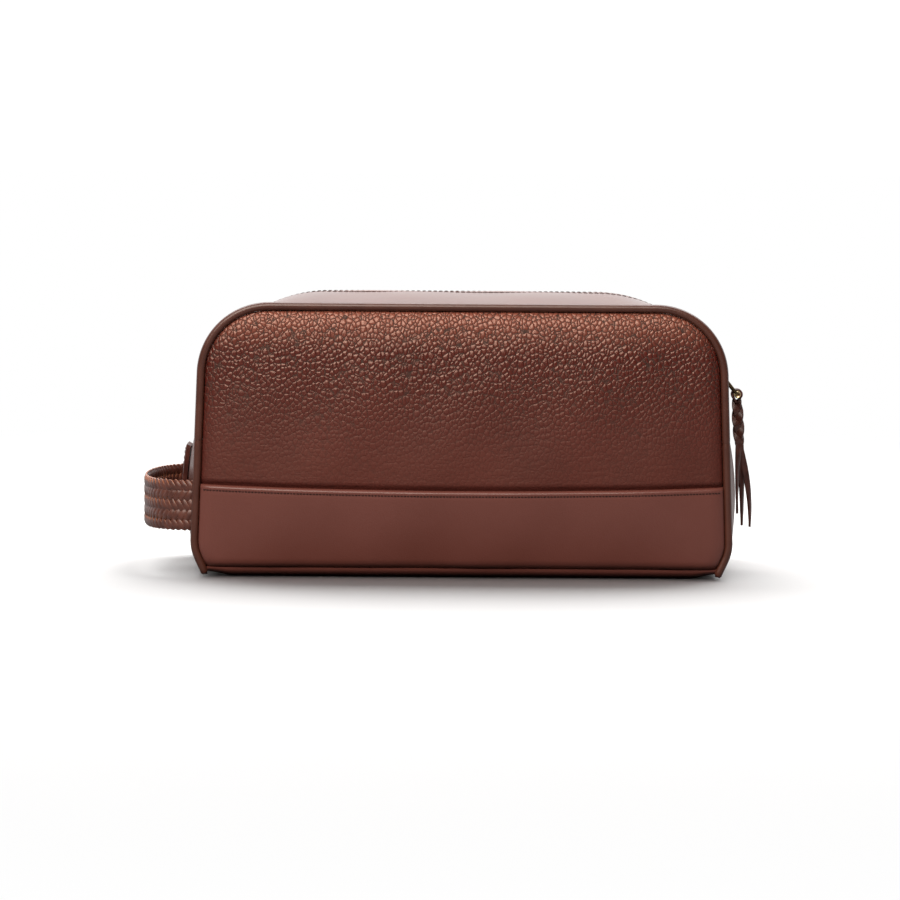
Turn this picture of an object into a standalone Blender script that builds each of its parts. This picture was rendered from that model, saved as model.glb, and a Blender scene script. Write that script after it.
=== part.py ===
"""Leather shaving kit bag: a zipped, piped toilet bag with a braided end handle and a leather zip pull.

Run it with: blender --background --python part.py

Frame: metres, +Z up. The bag stands on z = 0 with the origin under its middle. +X runs towards the end
where the zip closes, -X towards the end with the handle, and -Y is the front.
The front and back panels meet the gusset along one seam line, which runs up one end, over the top and down
the other end. Everything that meets that line takes its place from it.
"""

import math

import bmesh
import bpy
import numpy as np

# Seam line, in the XZ plane: foot, hip and shoulder of the right half.
FOOT_HALF_WIDTH = 0.1277
FOOT_HEIGHT = 0.0024
HIP_HALF_WIDTH = 0.1330
HIP_HEIGHT = 0.0140
HIP_RADIUS = 0.020
SHOULDER_TAPER = 0.0045
SEAM_HEIGHT = 0.1347
SHOULDER_RADIUS = 0.034

# The body.
SEAM_DEPTH = 0.102
PANEL_CROWN = 0.007
LEATHER = 0.0022
PIPING_RADIUS = 0.0020
GAP = 0.0003

# Crest line, along the middle of the gusset: the zip's line above the cross seams, a swell below them.
CREST_HEIGHT = 0.1400
CREST_RADIUS = 0.066
CROSS_BULGE = 0.0034
END_SWELL = 0.0030

# Seams across the panels and the gusset.
CROSS_SEAM_HEIGHT = 0.070
BAND_HEIGHT = 0.046
BAND_STEP = 0.0009
BASE_LIP_HEIGHT = 0.0056
BASE_CURVE = 0.0075
PANEL_STAND = 0.0008

# Inside.
BOARD_THICKNESS = 0.0015
BOARD_MARGIN = 0.008
LINING = 0.0006
LINING_GAP = 0.0004

# The zip.
ZIP_OPENING = 0.012
TEETH_WIDTH = 0.0026
TEETH_THICKNESS = 0.0020
TEETH_GAP = 0.0014
TAPE_WIDTH = 0.0060
TAPE_THICKNESS = 0.0010
TAPE_DEPTH = 0.0022
STOP_LENGTH = 0.0030
SLIDER_ANGLE = math.radians(25)
SLIDER_LENGTH = 0.0100
SLIDER_WIDTH = 0.0100
SLIDER_PLATE = 0.0010
SLIDER_CLEARANCE = 0.0006
SLIDER_POST = 0.0022
BRIDGE_LENGTH = 0.0060
BRIDGE_WIDTH = 0.0026
BRIDGE_BAR = 0.0009
BRIDGE_HOLE = 0.0019

# The pull: a wire link on the slider, and a leather thong looped round its lower bar.
LINK_WIRE_RADIUS = 0.0006
LINK_WIDTH = 0.0074
LINK_BAR_RADIUS = 0.0014
LINK_BAR_X = 0.1400
LINK_BAR_Z = 0.0892
THONG = 0.0012
THONG_WIDTH = 0.0046
BRAID_WIDTH = 0.0062
BRAID_THICKNESS = 0.0044
BRAID_TOP_Z = 0.0848
BRAID_BOTTOM_Z = 0.0620
BRAID_TOP_X = 0.1401
BRAID_BOTTOM_X = 0.1417
TAIL_WIDTH = 0.0034
TAIL_THICKNESS = 0.0012
TAIL_ENDS = (
    ("puller_tail_inner", -0.0060, 0.1408, 0.0280),
    ("puller_tail_middle", 0.0020, 0.1436, 0.0215),
    ("puller_tail_outer", -0.0010, 0.1470, 0.0212),
)

# The handle: a braided strap, sewn into the front and back seams at one end of the bag.
STRAP_WIDTH = 0.0250
STRAP_THICKNESS = 0.0030
STRAP_HEIGHT = 0.0352
STRAP_REACH = 0.0262
STRAP_SQUARENESS = 2.3
STRAP_END_INSET = 0.0030
STUB_LENGTH = 0.0040
HANDLE_SWING = math.radians(14)

# The tab over the zip's left end.
TAB_WIDTH = 0.022
TAB_TOP = 0.0620
TAB_BOTTOM = 0.0300
TAB_THICKNESS = 0.0028

PATH_STEP = 0.008
ROW_STEP = 0.016
ARC_STEP = math.radians(13)

MATERIALS = {
    "grained_leather": ((0.105, 0.030, 0.020), 0.45, 0.0),
    "smooth_leather": ((0.120, 0.040, 0.028), 0.38, 0.0),
    "braided_leather": ((0.130, 0.045, 0.028), 0.48, 0.0),
    "dark_leather": ((0.045, 0.018, 0.014), 0.50, 0.0),
    "lining_cloth": ((0.050, 0.040, 0.034), 0.90, 0.0),
    "zip_tape": ((0.040, 0.022, 0.016), 0.85, 0.0),
    "antique_brass": ((0.300, 0.200, 0.090), 0.35, 1.0),
    "base_board": ((0.080, 0.075, 0.070), 0.60, 0.0),
}


def clear_scene():
    for thing in list(bpy.data.objects):
        bpy.data.objects.remove(thing, do_unlink=True)


def material(name):
    found = bpy.data.materials.get(name)
    if found:
        return found
    colour, roughness, metallic = MATERIALS[name]
    made = bpy.data.materials.new(name)
    made.use_nodes = True
    shader = made.node_tree.nodes["Principled BSDF"]
    shader.inputs["Base Color"].default_value = (*colour, 1.0)
    shader.inputs["Roughness"].default_value = roughness
    shader.inputs["Metallic"].default_value = metallic
    return made


def add_mesh(name, mesh, finish):
    part = bpy.data.objects.new(name, mesh)
    bpy.context.scene.collection.objects.link(part)
    mesh.materials.append(material(finish))
    mesh.shade_smooth()
    mesh.set_sharp_from_angle(angle=math.radians(40))
    return part


def finish_bmesh(shape, name, finish):
    bmesh.ops.recalc_face_normals(shape, faces=shape.faces)
    mesh = bpy.data.meshes.new(name)
    shape.to_mesh(mesh)
    shape.free()
    return add_mesh(name, mesh, finish)


# ---- the seam line -------------------------------------------------------------------------------------


def fillet(before, corner, after, radius):
    """(centre, first angle, last angle) of the arc that rounds a corner turned clockwise."""
    before, corner, after = (np.array(point, float) for point in (before, corner, after))
    into = (corner - before) / np.linalg.norm(corner - before)
    out = (after - corner) / np.linalg.norm(after - corner)
    turn = math.acos(float(np.clip(into @ out, -1, 1)))
    start = corner - into * radius * math.tan(turn / 2)
    outward = np.array([-into[1], into[0]])
    first = math.atan2(outward[1], outward[0])
    return start - outward * radius, first, first - turn


def seam_corners():
    shoulder = HIP_HALF_WIDTH - SHOULDER_TAPER
    right = [
        (shoulder, SEAM_HEIGHT, SHOULDER_RADIUS),
        (HIP_HALF_WIDTH, HIP_HEIGHT, HIP_RADIUS),
        (FOOT_HALF_WIDTH, FOOT_HEIGHT, 0.0),
    ]
    left = [(-x, z, radius) for x, z, radius in reversed(right)]
    return left + right


def shoulder_arc():
    """Centre of the right shoulder's arc."""
    corners = [corner[:2] for corner in seam_corners()]
    return fillet(corners[2], corners[3], corners[4], SHOULDER_RADIUS)[0]


def seam_points():
    """Points and outward normals along the seam line, from the left foot over the top to the right foot."""
    corners = seam_corners()
    made = []
    for number, (x, z, radius) in enumerate(corners):
        if radius == 0.0:
            other = corners[1] if number == 0 else corners[-2]
            along = np.array([other[0] - x, other[1] - z])
            if number:
                along = -along
            along = along / np.linalg.norm(along)
            made.append((np.array([x, z]), np.array([-along[1], along[0]])))
            continue
        ends = corners[number - 1][:2], corners[number + 1][:2]
        centre, first, last = fillet(ends[0], (x, z), ends[1], radius)
        steps = max(2, round((first - last) / ARC_STEP))
        for angle in np.linspace(first, last, steps + 1):
            normal = np.array([math.cos(angle), math.sin(angle)])
            made.append((centre + normal * radius, normal))
    return spread_out(made)


def spread_out(made):
    """The same line with its straight stretches divided into steps."""
    rows = [made[0]]
    for point, normal in made[1:]:
        start, first = rows[-1]
        steps = max(1, math.ceil(np.linalg.norm(point - start) / PATH_STEP))
        for k in range(1, steps + 1):
            share = k / steps
            mixed = first * (1 - share) + normal * share
            rows.append((start + (point - start) * share, mixed / np.linalg.norm(mixed)))
    points = np.array([row[0] for row in rows])
    normals = np.array([row[1] for row in rows])
    lengths = np.concatenate([[0], np.cumsum(np.linalg.norm(np.diff(points, axis=0), axis=1))])
    return points, normals, lengths


SEAM_POINTS, SEAM_NORMALS, SEAM_LENGTHS = seam_points()
SEAM_LENGTH = float(SEAM_LENGTHS[-1])


def seam_at(length):
    """(point, normal) of the seam line at a length from the left foot."""
    point = [np.interp(length, SEAM_LENGTHS, SEAM_POINTS[:, k]) for k in (0, 1)]
    normal = np.array([np.interp(length, SEAM_LENGTHS, SEAM_NORMALS[:, k]) for k in (0, 1)])
    return np.array(point), normal / np.linalg.norm(normal)


def length_at(height, side):
    """Length along the seam line where its left (-1) or right (+1) half is at a height."""
    half = SEAM_POINTS[:, 0] * side > 0
    heights, lengths = SEAM_POINTS[half, 1], SEAM_LENGTHS[half]
    order = np.argsort(heights, kind="stable")
    return float(np.interp(height, heights[order], lengths[order]))


def stretch(start, end):
    """The seam line's own lengths between two lengths, with both ends."""
    inside = [float(s) for s in SEAM_LENGTHS if start + 1e-4 < s < end - 1e-4]
    return [start, *inside, end]


# ---- the crest line ------------------------------------------------------------------------------------

CROSS_LEFT = length_at(CROSS_SEAM_HEIGHT, -1)
CROSS_RIGHT = length_at(CROSS_SEAM_HEIGHT, 1)
CREST_CENTRE_Z = CREST_HEIGHT - CREST_RADIUS
CROSS_ANGLE = math.asin((CROSS_SEAM_HEIGHT - CREST_CENTRE_Z) / CREST_RADIUS)
CREST_CENTRE_X = float(seam_at(CROSS_RIGHT)[0][0]) + CROSS_BULGE - CREST_RADIUS * math.cos(CROSS_ANGLE)
CREST_HALF_LENGTH = CREST_CENTRE_X + CREST_RADIUS * (math.pi / 2 - CROSS_ANGLE)
CREST_SCALE = CREST_HALF_LENGTH / (CROSS_RIGHT - SEAM_LENGTH / 2)


def crest_at(length):
    """(point, normal) of the crest beside a length of the seam line."""
    if length < CROSS_LEFT or length > CROSS_RIGHT:
        point, normal = seam_at(length)
        share = min(length, SEAM_LENGTH - length) / CROSS_LEFT
        swell = CROSS_BULGE * share + 4 * END_SWELL * share * (1 - share)
        return point + normal * swell, normal
    along = (length - SEAM_LENGTH / 2) * CREST_SCALE
    side = math.copysign(1.0, along)
    angle = math.pi / 2 - max(0.0, abs(along) - CREST_CENTRE_X) / CREST_RADIUS
    normal = np.array([side * math.cos(angle), math.sin(angle)])
    centre = np.array([side * min(abs(along), CREST_CENTRE_X), CREST_CENTRE_Z])
    return centre + normal * CREST_RADIUS, normal


def gusset_point(length, y, offset):
    """A point of the gusset, which swells from the seam line at its edges to the crest in its middle."""
    edge, edge_normal = seam_at(length)
    crest, crest_normal = crest_at(length)
    share = 1 - (2 * y / SEAM_DEPTH) ** 2
    normal = edge_normal * (1 - share) + crest_normal * share
    x, z = edge + (crest - edge) * share + normal / np.linalg.norm(normal) * offset
    return (float(x), y, float(z))


# ---- solids from grids ---------------------------------------------------------------------------------


def slab(name, outer, inner, finish):
    """A closed solid between two grids of points that match row for row."""
    shape = bmesh.new()
    grids = [[[shape.verts.new(point) for point in row] for row in grid] for grid in (outer, inner)]
    rows, columns = len(outer), len(outer[0])
    for grid in grids:
        for i in range(rows - 1):
            for j in range(columns - 1):
                shape.faces.new((grid[i][j], grid[i][j + 1], grid[i + 1][j + 1], grid[i + 1][j]))
    rim = [(0, j) for j in range(columns)]
    rim += [(i, columns - 1) for i in range(1, rows)]
    rim += [(rows - 1, j) for j in range(columns - 2, -1, -1)]
    rim += [(i, 0) for i in range(rows - 2, 0, -1)]
    for (a, b), (c, d) in zip(rim, rim[1:] + rim[:1], strict=True):
        shape.faces.new((grids[0][a][b], grids[0][c][d], grids[1][c][d], grids[1][a][b]))
    return finish_bmesh(shape, name, finish)


def gusset_slab(name, start, end, y_values, outer, inner, finish):
    """A strip of the gusset between two lengths of the seam line, across the given places in y."""
    lengths = stretch(start, end)
    grids = [[[gusset_point(s, y, offset) for y in y_values] for s in lengths] for offset in (outer, inner)]
    return slab(name, *grids, finish)


def across(start, end, steps):
    return [float(y) for y in np.linspace(start, end, steps + 1)]


def panel_rows(low, high, inset):
    """(height, half width) of a panel's rows, between two heights, a distance inside the seam line."""
    centre = shoulder_arc()
    radius = SHOULDER_RADIUS - inset
    steps = max(1, math.ceil((min(high, centre[1]) - low) / ROW_STEP))
    rows = []
    for height in np.linspace(low, min(high, centre[1]), steps + 1):
        point, normal = seam_at(length_at(float(height), 1))
        rows.append((float(height), float(point[0] - inset / normal[0])))
    if high > centre[1]:
        for angle in np.linspace(0, math.pi / 2, 6)[1:]:
            rows.append((centre[1] + radius * math.sin(angle), centre[0] + radius * math.cos(angle)))
    return rows


def crown(share, height):
    """How far a panel swells: nothing at the seams, most in the middle."""
    middle = (SEAM_HEIGHT + BASE_LIP_HEIGHT) / 2
    half = (SEAM_HEIGHT - BASE_LIP_HEIGHT) / 2
    up = min(1.0, abs(height - middle) / half)
    return PANEL_CROWN * (1 - abs(share) ** 3) * (1 - up**3)


def panel(name, side, low, high, inset, stand, thickness, finish):
    """A front (-1) or back (+1) panel whose outer face stands out of the seam plane."""
    grids = []
    for depth in (stand, stand - thickness):
        rows = []
        for height, half_width in panel_rows(low, high, inset):
            shares = np.sin(np.linspace(-1, 1, 15) * math.pi / 2)
            rows.append(
                [(half_width * u, side * (SEAM_DEPTH / 2 + depth + crown(u, height)), height) for u in shares]
            )
        grids.append(rows)
    return slab(name, *grids, finish)


def tube(name, points, radius, finish):
    """A round cord through points, closed at both ends."""
    curve = bpy.data.curves.new(name, "CURVE")
    curve.dimensions = "3D"
    curve.bevel_depth = radius
    curve.bevel_resolution = 2
    curve.use_fill_caps = True
    line = curve.splines.new("POLY")
    line.points.add(len(points) - 1)
    for spot, point in zip(line.points, points, strict=True):
        spot.co = (*point, 1.0)
    part = bpy.data.objects.new(name, curve)
    bpy.context.scene.collection.objects.link(part)
    curve.materials.append(material(finish))
    return part


def block(shape, low, high):
    """A box between two corners, added to a bmesh."""
    size = [b - a for a, b in zip(low, high, strict=True)]
    middle = [(a + b) / 2 for a, b in zip(low, high, strict=True)]
    made = bmesh.ops.create_cube(shape, size=1.0)["verts"]
    bmesh.ops.scale(shape, vec=size, verts=made)
    bmesh.ops.translate(shape, vec=middle, verts=made)
    return made


def prism(name, outline, low, high, finish):
    """An outline in XZ, extruded along Y."""
    shape = bmesh.new()
    base = shape.faces.new([shape.verts.new((x, low, z)) for x, z in outline])
    made = bmesh.ops.extrude_face_region(shape, geom=[base])["geom"]
    top = [part for part in made if isinstance(part, bmesh.types.BMVert)]
    bmesh.ops.translate(shape, vec=(0, high - low, 0), verts=top)
    return finish_bmesh(shape, name, finish)


def join_solids(base, others):
    """Unions helper solids into a base solid, and leaves only the base."""
    for other in others:
        cut = base.modifiers.new("join", "BOOLEAN")
        cut.operation = "UNION"
        cut.solver = "EXACT"
        cut.object = other
        other.hide_render = True
        other.display_type = "WIRE"


# ---- panels, gusset and piping -------------------------------------------------------------------------

PANEL_INSET = PIPING_RADIUS + GAP
GUSSET_EDGE = SEAM_DEPTH / 2 - PIPING_RADIUS - GAP
GUSSET_OUTER = PANEL_STAND
GUSSET_INNER = PANEL_STAND - LEATHER
TEETH_LEFT = CROSS_LEFT + STOP_LENGTH + 2 * GAP
SLIDER_PLACE = (CREST_CENTRE_X + CREST_RADIUS * (math.pi / 2 - SLIDER_ANGLE)) / CREST_SCALE
TEETH_RIGHT = SEAM_LENGTH / 2 + SLIDER_PLACE + SLIDER_LENGTH / 2
BACK_TEETH_RIGHT = TEETH_RIGHT - SLIDER_LENGTH - GAP


def front_panels():
    top = SEAM_HEIGHT
    panel("front_panel", -1, BAND_HEIGHT + GAP, top, PANEL_INSET, PANEL_STAND, LEATHER, "grained_leather")
    band_low = BASE_LIP_HEIGHT + GAP
    stand = PANEL_STAND + BAND_STEP
    panel("front_band", -1, band_low, BAND_HEIGHT, PANEL_INSET, stand, LEATHER, "smooth_leather")


def back_panels():
    """The back folds across the cross seams' height, so its grained panel is in two."""
    fold = CROSS_SEAM_HEIGHT
    finish = "grained_leather"
    panel("back_panel_upper", 1, fold + GAP, SEAM_HEIGHT, PANEL_INSET, PANEL_STAND, LEATHER, finish)
    panel("back_panel_lower", 1, BAND_HEIGHT + GAP, fold, PANEL_INSET, PANEL_STAND, LEATHER, finish)
    band_low = BASE_LIP_HEIGHT + GAP
    stand = PANEL_STAND + BAND_STEP
    panel("back_band", 1, band_low, BAND_HEIGHT, PANEL_INSET, stand, LEATHER, "smooth_leather")


def pipings():
    def cord(name, side, start, end):
        points = []
        for s in stretch(start, end):
            point, _ = seam_at(s)
            points.append((point[0], side * SEAM_DEPTH / 2, point[1]))
        tube(name, points, PIPING_RADIUS, "smooth_leather")

    cord("front_piping", -1, 0.0, SEAM_LENGTH)
    cord("back_piping_left", 1, 0.0, CROSS_LEFT)
    cord("back_piping_upper", 1, CROSS_LEFT + GAP, CROSS_RIGHT - GAP)
    cord("back_piping_right", 1, CROSS_RIGHT, SEAM_LENGTH)


def gussets():
    whole = across(-GUSSET_EDGE, GUSSET_EDGE, 6)
    lower = (GUSSET_OUTER, GUSSET_INNER, "smooth_leather")
    gusset_slab("left_gusset", 0.0, CROSS_LEFT, whole, *lower)
    gusset_slab("right_gusset", CROSS_RIGHT, SEAM_LENGTH, whole, *lower)
    for name, side in (("zip_gusset_front", -1), ("zip_gusset_back", 1)):
        half = across(side * ZIP_OPENING / 2, side * GUSSET_EDGE, 3)
        gusset_slab(name, CROSS_LEFT + GAP, CROSS_RIGHT - GAP, half, *lower)


def base():
    """The base's front and back edges curve up to the panels' lower seams."""
    half_length = FOOT_HALF_WIDTH - PIPING_RADIUS - GAP
    half_depth = SEAM_DEPTH / 2 + PANEL_STAND
    flat = half_depth - BASE_CURVE

    def edge(depth):
        places = []
        for angle in np.linspace(0, math.pi / 2, 5):
            places.append(
                (
                    flat + (BASE_CURVE - depth) * math.sin(angle),
                    depth + (BASE_LIP_HEIGHT - depth) * (1 - math.cos(angle)),
                )
            )
        return [(-y, z) for y, z in reversed(places)] + places

    x_places = across(-half_length, half_length, 6)
    grids = [[[(x, y, z) for y, z in edge(depth)] for x in x_places] for depth in (0.0, LEATHER)]
    slab("base_panel", *grids, "smooth_leather")

    shape = bmesh.new()
    low = LEATHER + LINING_GAP
    long_side = half_length - BOARD_MARGIN
    short_side = flat - LINING_GAP
    block(shape, (-long_side, -short_side, low), (long_side, short_side, low + BOARD_THICKNESS))
    finish_bmesh(shape, "base_board", "base_board")


def lining():
    """Cloth inside each piece of leather. It stops short of the zip and of its neighbours."""
    back = GUSSET_INNER - LINING_GAP
    inset = PIPING_RADIUS + LEATHER + LINING_GAP + LINING + 2 * GAP
    floor = LEATHER + BOARD_THICKNESS + 3 * LINING_GAP
    face = PANEL_STAND - LEATHER - LINING_GAP
    low = floor + LINING + LINING_GAP
    fold = CROSS_SEAM_HEIGHT
    panel("lining_front", -1, low, SEAM_HEIGHT, inset, face, LINING, "lining_cloth")
    panel("lining_back_upper", 1, fold + GAP, SEAM_HEIGHT, inset, face, LINING, "lining_cloth")
    panel("lining_back_lower", 1, low, fold, inset, face, LINING, "lining_cloth")

    edge = SEAM_DEPTH / 2 + face - LINING - LINING_GAP
    whole = across(-edge, edge, 4)
    ends = (back, back - LINING, "lining_cloth")
    end_low = length_at(low, -1)
    gusset_slab("lining_left", end_low, CROSS_LEFT, whole, *ends)
    gusset_slab("lining_right", CROSS_RIGHT, SEAM_LENGTH - end_low, whole, *ends)
    for name, side in (("lining_zip_front", -1), ("lining_zip_back", 1)):
        start = TEETH_GAP / 2 + TEETH_WIDTH + GAP + TAPE_WIDTH + LINING_GAP
        half = across(side * start, side * edge, 2)
        gusset_slab(name, CROSS_LEFT + GAP, CROSS_RIGHT - GAP, half, *ends)

    shape = bmesh.new()
    long_side = FOOT_HALF_WIDTH - inset
    short_side = SEAM_DEPTH / 2 - BASE_CURVE
    block(shape, (-long_side, -short_side, floor), (long_side, short_side, floor + LINING))
    finish_bmesh(shape, "lining_base", "lining_cloth")


# ---- the zip -------------------------------------------------------------------------------------------


def zip_rows():
    """Tapes, rows of teeth and stops. The back row stops short of the slider, to leave it as the back opens."""
    for end, side, last in (("front", -1, TEETH_RIGHT), ("back", 1, BACK_TEETH_RIGHT)):
        near = TEETH_GAP / 2
        far = near + TEETH_WIDTH
        mid = -TAPE_DEPTH
        half = TEETH_THICKNESS / 2
        teeth = across(side * near, side * far, 1)
        metal = (mid + half, mid - half, "antique_brass")
        gusset_slab(f"zip_teeth_{end}", TEETH_LEFT, last, teeth, *metal)
        tape = across(side * (far + GAP), side * (far + GAP + TAPE_WIDTH), 1)
        half = TAPE_THICKNESS / 2
        start, stop = CROSS_LEFT + GAP, CROSS_RIGHT - GAP
        gusset_slab(f"zip_tape_{end}", start, stop, tape, mid + half, mid - half, "zip_tape")

    half = TEETH_THICKNESS / 2
    both = across(-TEETH_GAP / 2 - TEETH_WIDTH, TEETH_GAP / 2 + TEETH_WIDTH, 1)
    metal = (-TAPE_DEPTH + half, -TAPE_DEPTH - half, "antique_brass")
    gusset_slab("zip_bottom_stop", CROSS_LEFT + GAP, TEETH_LEFT - GAP, both, *metal)
    gusset_slab("zip_top_stop", TEETH_RIGHT + GAP, TEETH_RIGHT + STOP_LENGTH, both, *metal)


def slider_frame():
    """(origin, direction towards the zip's open end, outward direction) of the slider, in XZ."""
    outward = np.array([math.cos(SLIDER_ANGLE), math.sin(SLIDER_ANGLE)])
    along = np.array([-outward[1], outward[0]])
    centre = np.array([CREST_CENTRE_X, CREST_CENTRE_Z])
    return centre + outward * CREST_RADIUS, along, outward


def in_slider(along, out):
    origin, forward, outward = slider_frame()
    x, z = origin + forward * along + outward * out
    return (float(x), float(z))


def slider():
    """Two plates joined by a post at the wide end, and a bridge over the top plate."""
    half = TEETH_THICKNESS / 2 + SLIDER_CLEARANCE
    top_low = -TAPE_DEPTH + half
    bottom_high = -TAPE_DEPTH - half
    ends = (-SLIDER_LENGTH / 2, SLIDER_LENGTH / 2)

    def piece(name, corners, width):
        outline = [in_slider(*corner) for corner in corners]
        return prism(name, outline, -width / 2, width / 2, "antique_brass")

    def rectangle(start, end, low, high):
        return [(start, low), (start, high), (end, high), (end, low)]

    top = piece("slider", rectangle(*ends, top_low, top_low + SLIDER_PLATE), SLIDER_WIDTH)
    under = piece("slider_under", rectangle(*ends, bottom_high - SLIDER_PLATE, bottom_high), SLIDER_WIDTH)
    overlap = SLIDER_PLATE / 2
    post_span = rectangle(ends[0] + GAP, ends[0] + SLIDER_POST, bottom_high - overlap, top_low + overlap)
    post = piece("slider_post", post_span, TEETH_GAP - 2 * GAP)
    low = top_low + SLIDER_PLATE
    reach = BRIDGE_LENGTH / 2
    hole = reach - BRIDGE_BAR
    high = low + BRIDGE_HOLE
    arch = [
        (-reach, low - overlap),
        (-reach, high + BRIDGE_BAR),
        (reach, high + BRIDGE_BAR),
        (reach, low - overlap),
        (hole, low - overlap),
        (hole, high),
        (-hole, high),
        (-hole, low - overlap),
    ]
    bridge = piece("slider_bridge", arch, BRIDGE_WIDTH)
    join_solids(top, [under, post, bridge])
    return in_slider(0.0, low + BRIDGE_HOLE / 2)


def pull_link(pivot):
    """A wire frame that passes through the slider's bridge, with a thicker bar at its lower end."""
    bar = np.array([LINK_BAR_X, LINK_BAR_Z])
    pivot = np.array(pivot)
    half = LINK_WIDTH / 2
    corner = LINK_WIRE_RADIUS * 1.6
    down = (bar - pivot) / np.linalg.norm(bar - pivot)
    length = float(np.linalg.norm(bar - pivot))
    flat = [(0, -half + corner), (0, half - corner)]
    flat += [(corner, half), (length - corner, half), (length, half - corner)]
    flat += [(length, -half + corner), (length - corner, -half), (corner, -half)]
    rings = []
    shape = bmesh.new()
    across_wire = np.array([-down[1], down[0]])
    for number, (along, y) in enumerate(flat):
        before, after = flat[number - 1], flat[(number + 1) % len(flat)]
        way = np.array([after[0] - before[0], after[1] - before[1]])
        way = way / np.linalg.norm(way)
        side = np.array([-way[1], way[0]])
        ring = []
        for angle in np.linspace(0, 2 * math.pi, 8, endpoint=False):
            out = LINK_WIRE_RADIUS * math.sin(angle)
            flat_side = LINK_WIRE_RADIUS * math.cos(angle)
            spot = pivot + down * (along + side[0] * flat_side) + across_wire * out
            ring.append(shape.verts.new((spot[0], y + side[1] * flat_side, spot[1])))
        rings.append(ring)
    for one, two in zip(rings, rings[1:] + rings[:1], strict=True):
        for k in range(8):
            shape.faces.new((one[k], one[(k + 1) % 8], two[(k + 1) % 8], two[k]))
    link = finish_bmesh(shape, "pull_link", "antique_brass")
    outline = circle(bar, LINK_BAR_RADIUS, 12)
    reach = half + 2 * LINK_WIRE_RADIUS
    rod = prism("pull_link_bar", outline, -reach, reach, "antique_brass")
    join_solids(link, [rod])


def circle(centre, radius, count):
    angles = np.linspace(0, 2 * math.pi, count, endpoint=False)
    return [(centre[0] + radius * math.cos(a), centre[1] + radius * math.sin(a)) for a in angles]


def thong_loop():
    """The thong folded over the link's bar: an arch with its legs brought together below."""
    inner = LINK_BAR_RADIUS + GAP
    outer = inner + THONG
    centre = (LINK_BAR_X, LINK_BAR_Z)
    leg_x = BRAID_TOP_X
    leg_z = BRAID_TOP_Z + GAP

    def arch(radius, foot_half):
        points = []
        for angle in np.linspace(math.radians(-35), math.radians(215), 13):
            points.append((centre[0] + radius * math.cos(angle), centre[1] + radius * math.sin(angle)))
        return [(leg_x + foot_half, leg_z), *points, (leg_x - foot_half, leg_z)]

    outside = arch(outer, BRAID_THICKNESS / 2)
    inside = [point for point in arch(inner, 0.0) if point[1] > leg_z]
    inside = [*inside, (leg_x, leg_z + THONG)]
    half = THONG_WIDTH / 2
    loop = prism("puller_loop", outside, -half, half, "dark_leather")
    cutter = prism("puller_loop_hole", inside, -half - THONG, half + THONG, "dark_leather")
    cut = loop.modifiers.new("hole", "BOOLEAN")
    cut.operation = "DIFFERENCE"
    cut.solver = "EXACT"
    cut.object = cutter
    cutter.hide_render = True
    cutter.display_type = "WIRE"


def thong_braid():
    """The plaited stretch of the thong, as a bar with rounded corners that swells once in the middle."""
    rows = []
    for share in np.linspace(0, 1, 7):
        x = BRAID_TOP_X + (BRAID_BOTTOM_X - BRAID_TOP_X) * share
        z = BRAID_TOP_Z + (BRAID_BOTTOM_Z - BRAID_TOP_Z) * share
        swell = 0.85 + 0.15 * math.sin(math.pi * share)
        ring = []
        for angle in np.linspace(0, 2 * math.pi, 10, endpoint=False):
            across_x = BRAID_THICKNESS / 2 * swell * math.cos(angle)
            across_y = BRAID_WIDTH / 2 * swell * math.sin(angle)
            ring.append((x + across_x, across_y, z))
        rows.append(ring)
    shape = bmesh.new()
    rings = [[shape.verts.new(point) for point in ring] for ring in rows]
    for one, two in zip(rings, rings[1:], strict=False):
        for k in range(10):
            shape.faces.new((one[k], one[(k + 1) % 10], two[(k + 1) % 10], two[k]))
    shape.faces.new(rings[0])
    shape.faces.new(rings[-1])
    finish_bmesh(shape, "puller_braid", "dark_leather")


def thong_tails():
    """Three flat tails that fan out below the braid and end in a slanting cut."""
    top_z = BRAID_BOTTOM_Z - GAP
    count = len(TAIL_ENDS)
    spacing = TAIL_THICKNESS + GAP
    for number, (name, end_y, end_x, end_z) in enumerate(TAIL_ENDS):
        top_x = BRAID_BOTTOM_X + (number - (count - 1) / 2) * spacing
        grids = []
        for side in (TAIL_THICKNESS / 2, -TAIL_THICKNESS / 2):
            rows = []
            for share in np.linspace(0, 1, 7):
                spread = share * share * (3 - 2 * share)
                x = top_x + (end_x - top_x) * spread + side
                z = top_z + (end_z - top_z) * share
                y = end_y * spread
                rows.append([(x, y - TAIL_WIDTH / 2, z), (x, y + TAIL_WIDTH / 2, z)])
            grids.append(rows)
        slab(name, *grids, "dark_leather")


# ---- the handle and the tab ----------------------------------------------------------------------------


def strap_line(share):
    """(x, y) of the strap's middle, from its front end (-1) to its back end (+1)."""
    half = GUSSET_EDGE - STRAP_END_INSET
    lowest = length_at(STRAP_HEIGHT - STRAP_WIDTH / 2, -1)
    wall = gusset_point(lowest, half - STRAP_THICKNESS, GUSSET_OUTER + GAP)[0]
    out = max(0.0, 1 - abs(share) ** STRAP_SQUARENESS) ** (1 / STRAP_SQUARENESS)
    return np.array([wall - STRAP_REACH * out, half * share])


def strap_curve(count):
    """Points and normals along the strap, closer together towards its ends."""
    shares = np.sin(np.linspace(-1, 1, count) * math.pi / 2)
    shares = np.sign(shares) * (1 - (1 - np.abs(shares)) ** 1.3)
    points = np.array([strap_line(share) for share in shares])
    ways = np.gradient(points, axis=0)
    ways = ways / np.linalg.norm(ways, axis=1)[:, None]
    return points, np.stack([-ways[:, 1], ways[:, 0]], axis=1)


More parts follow.
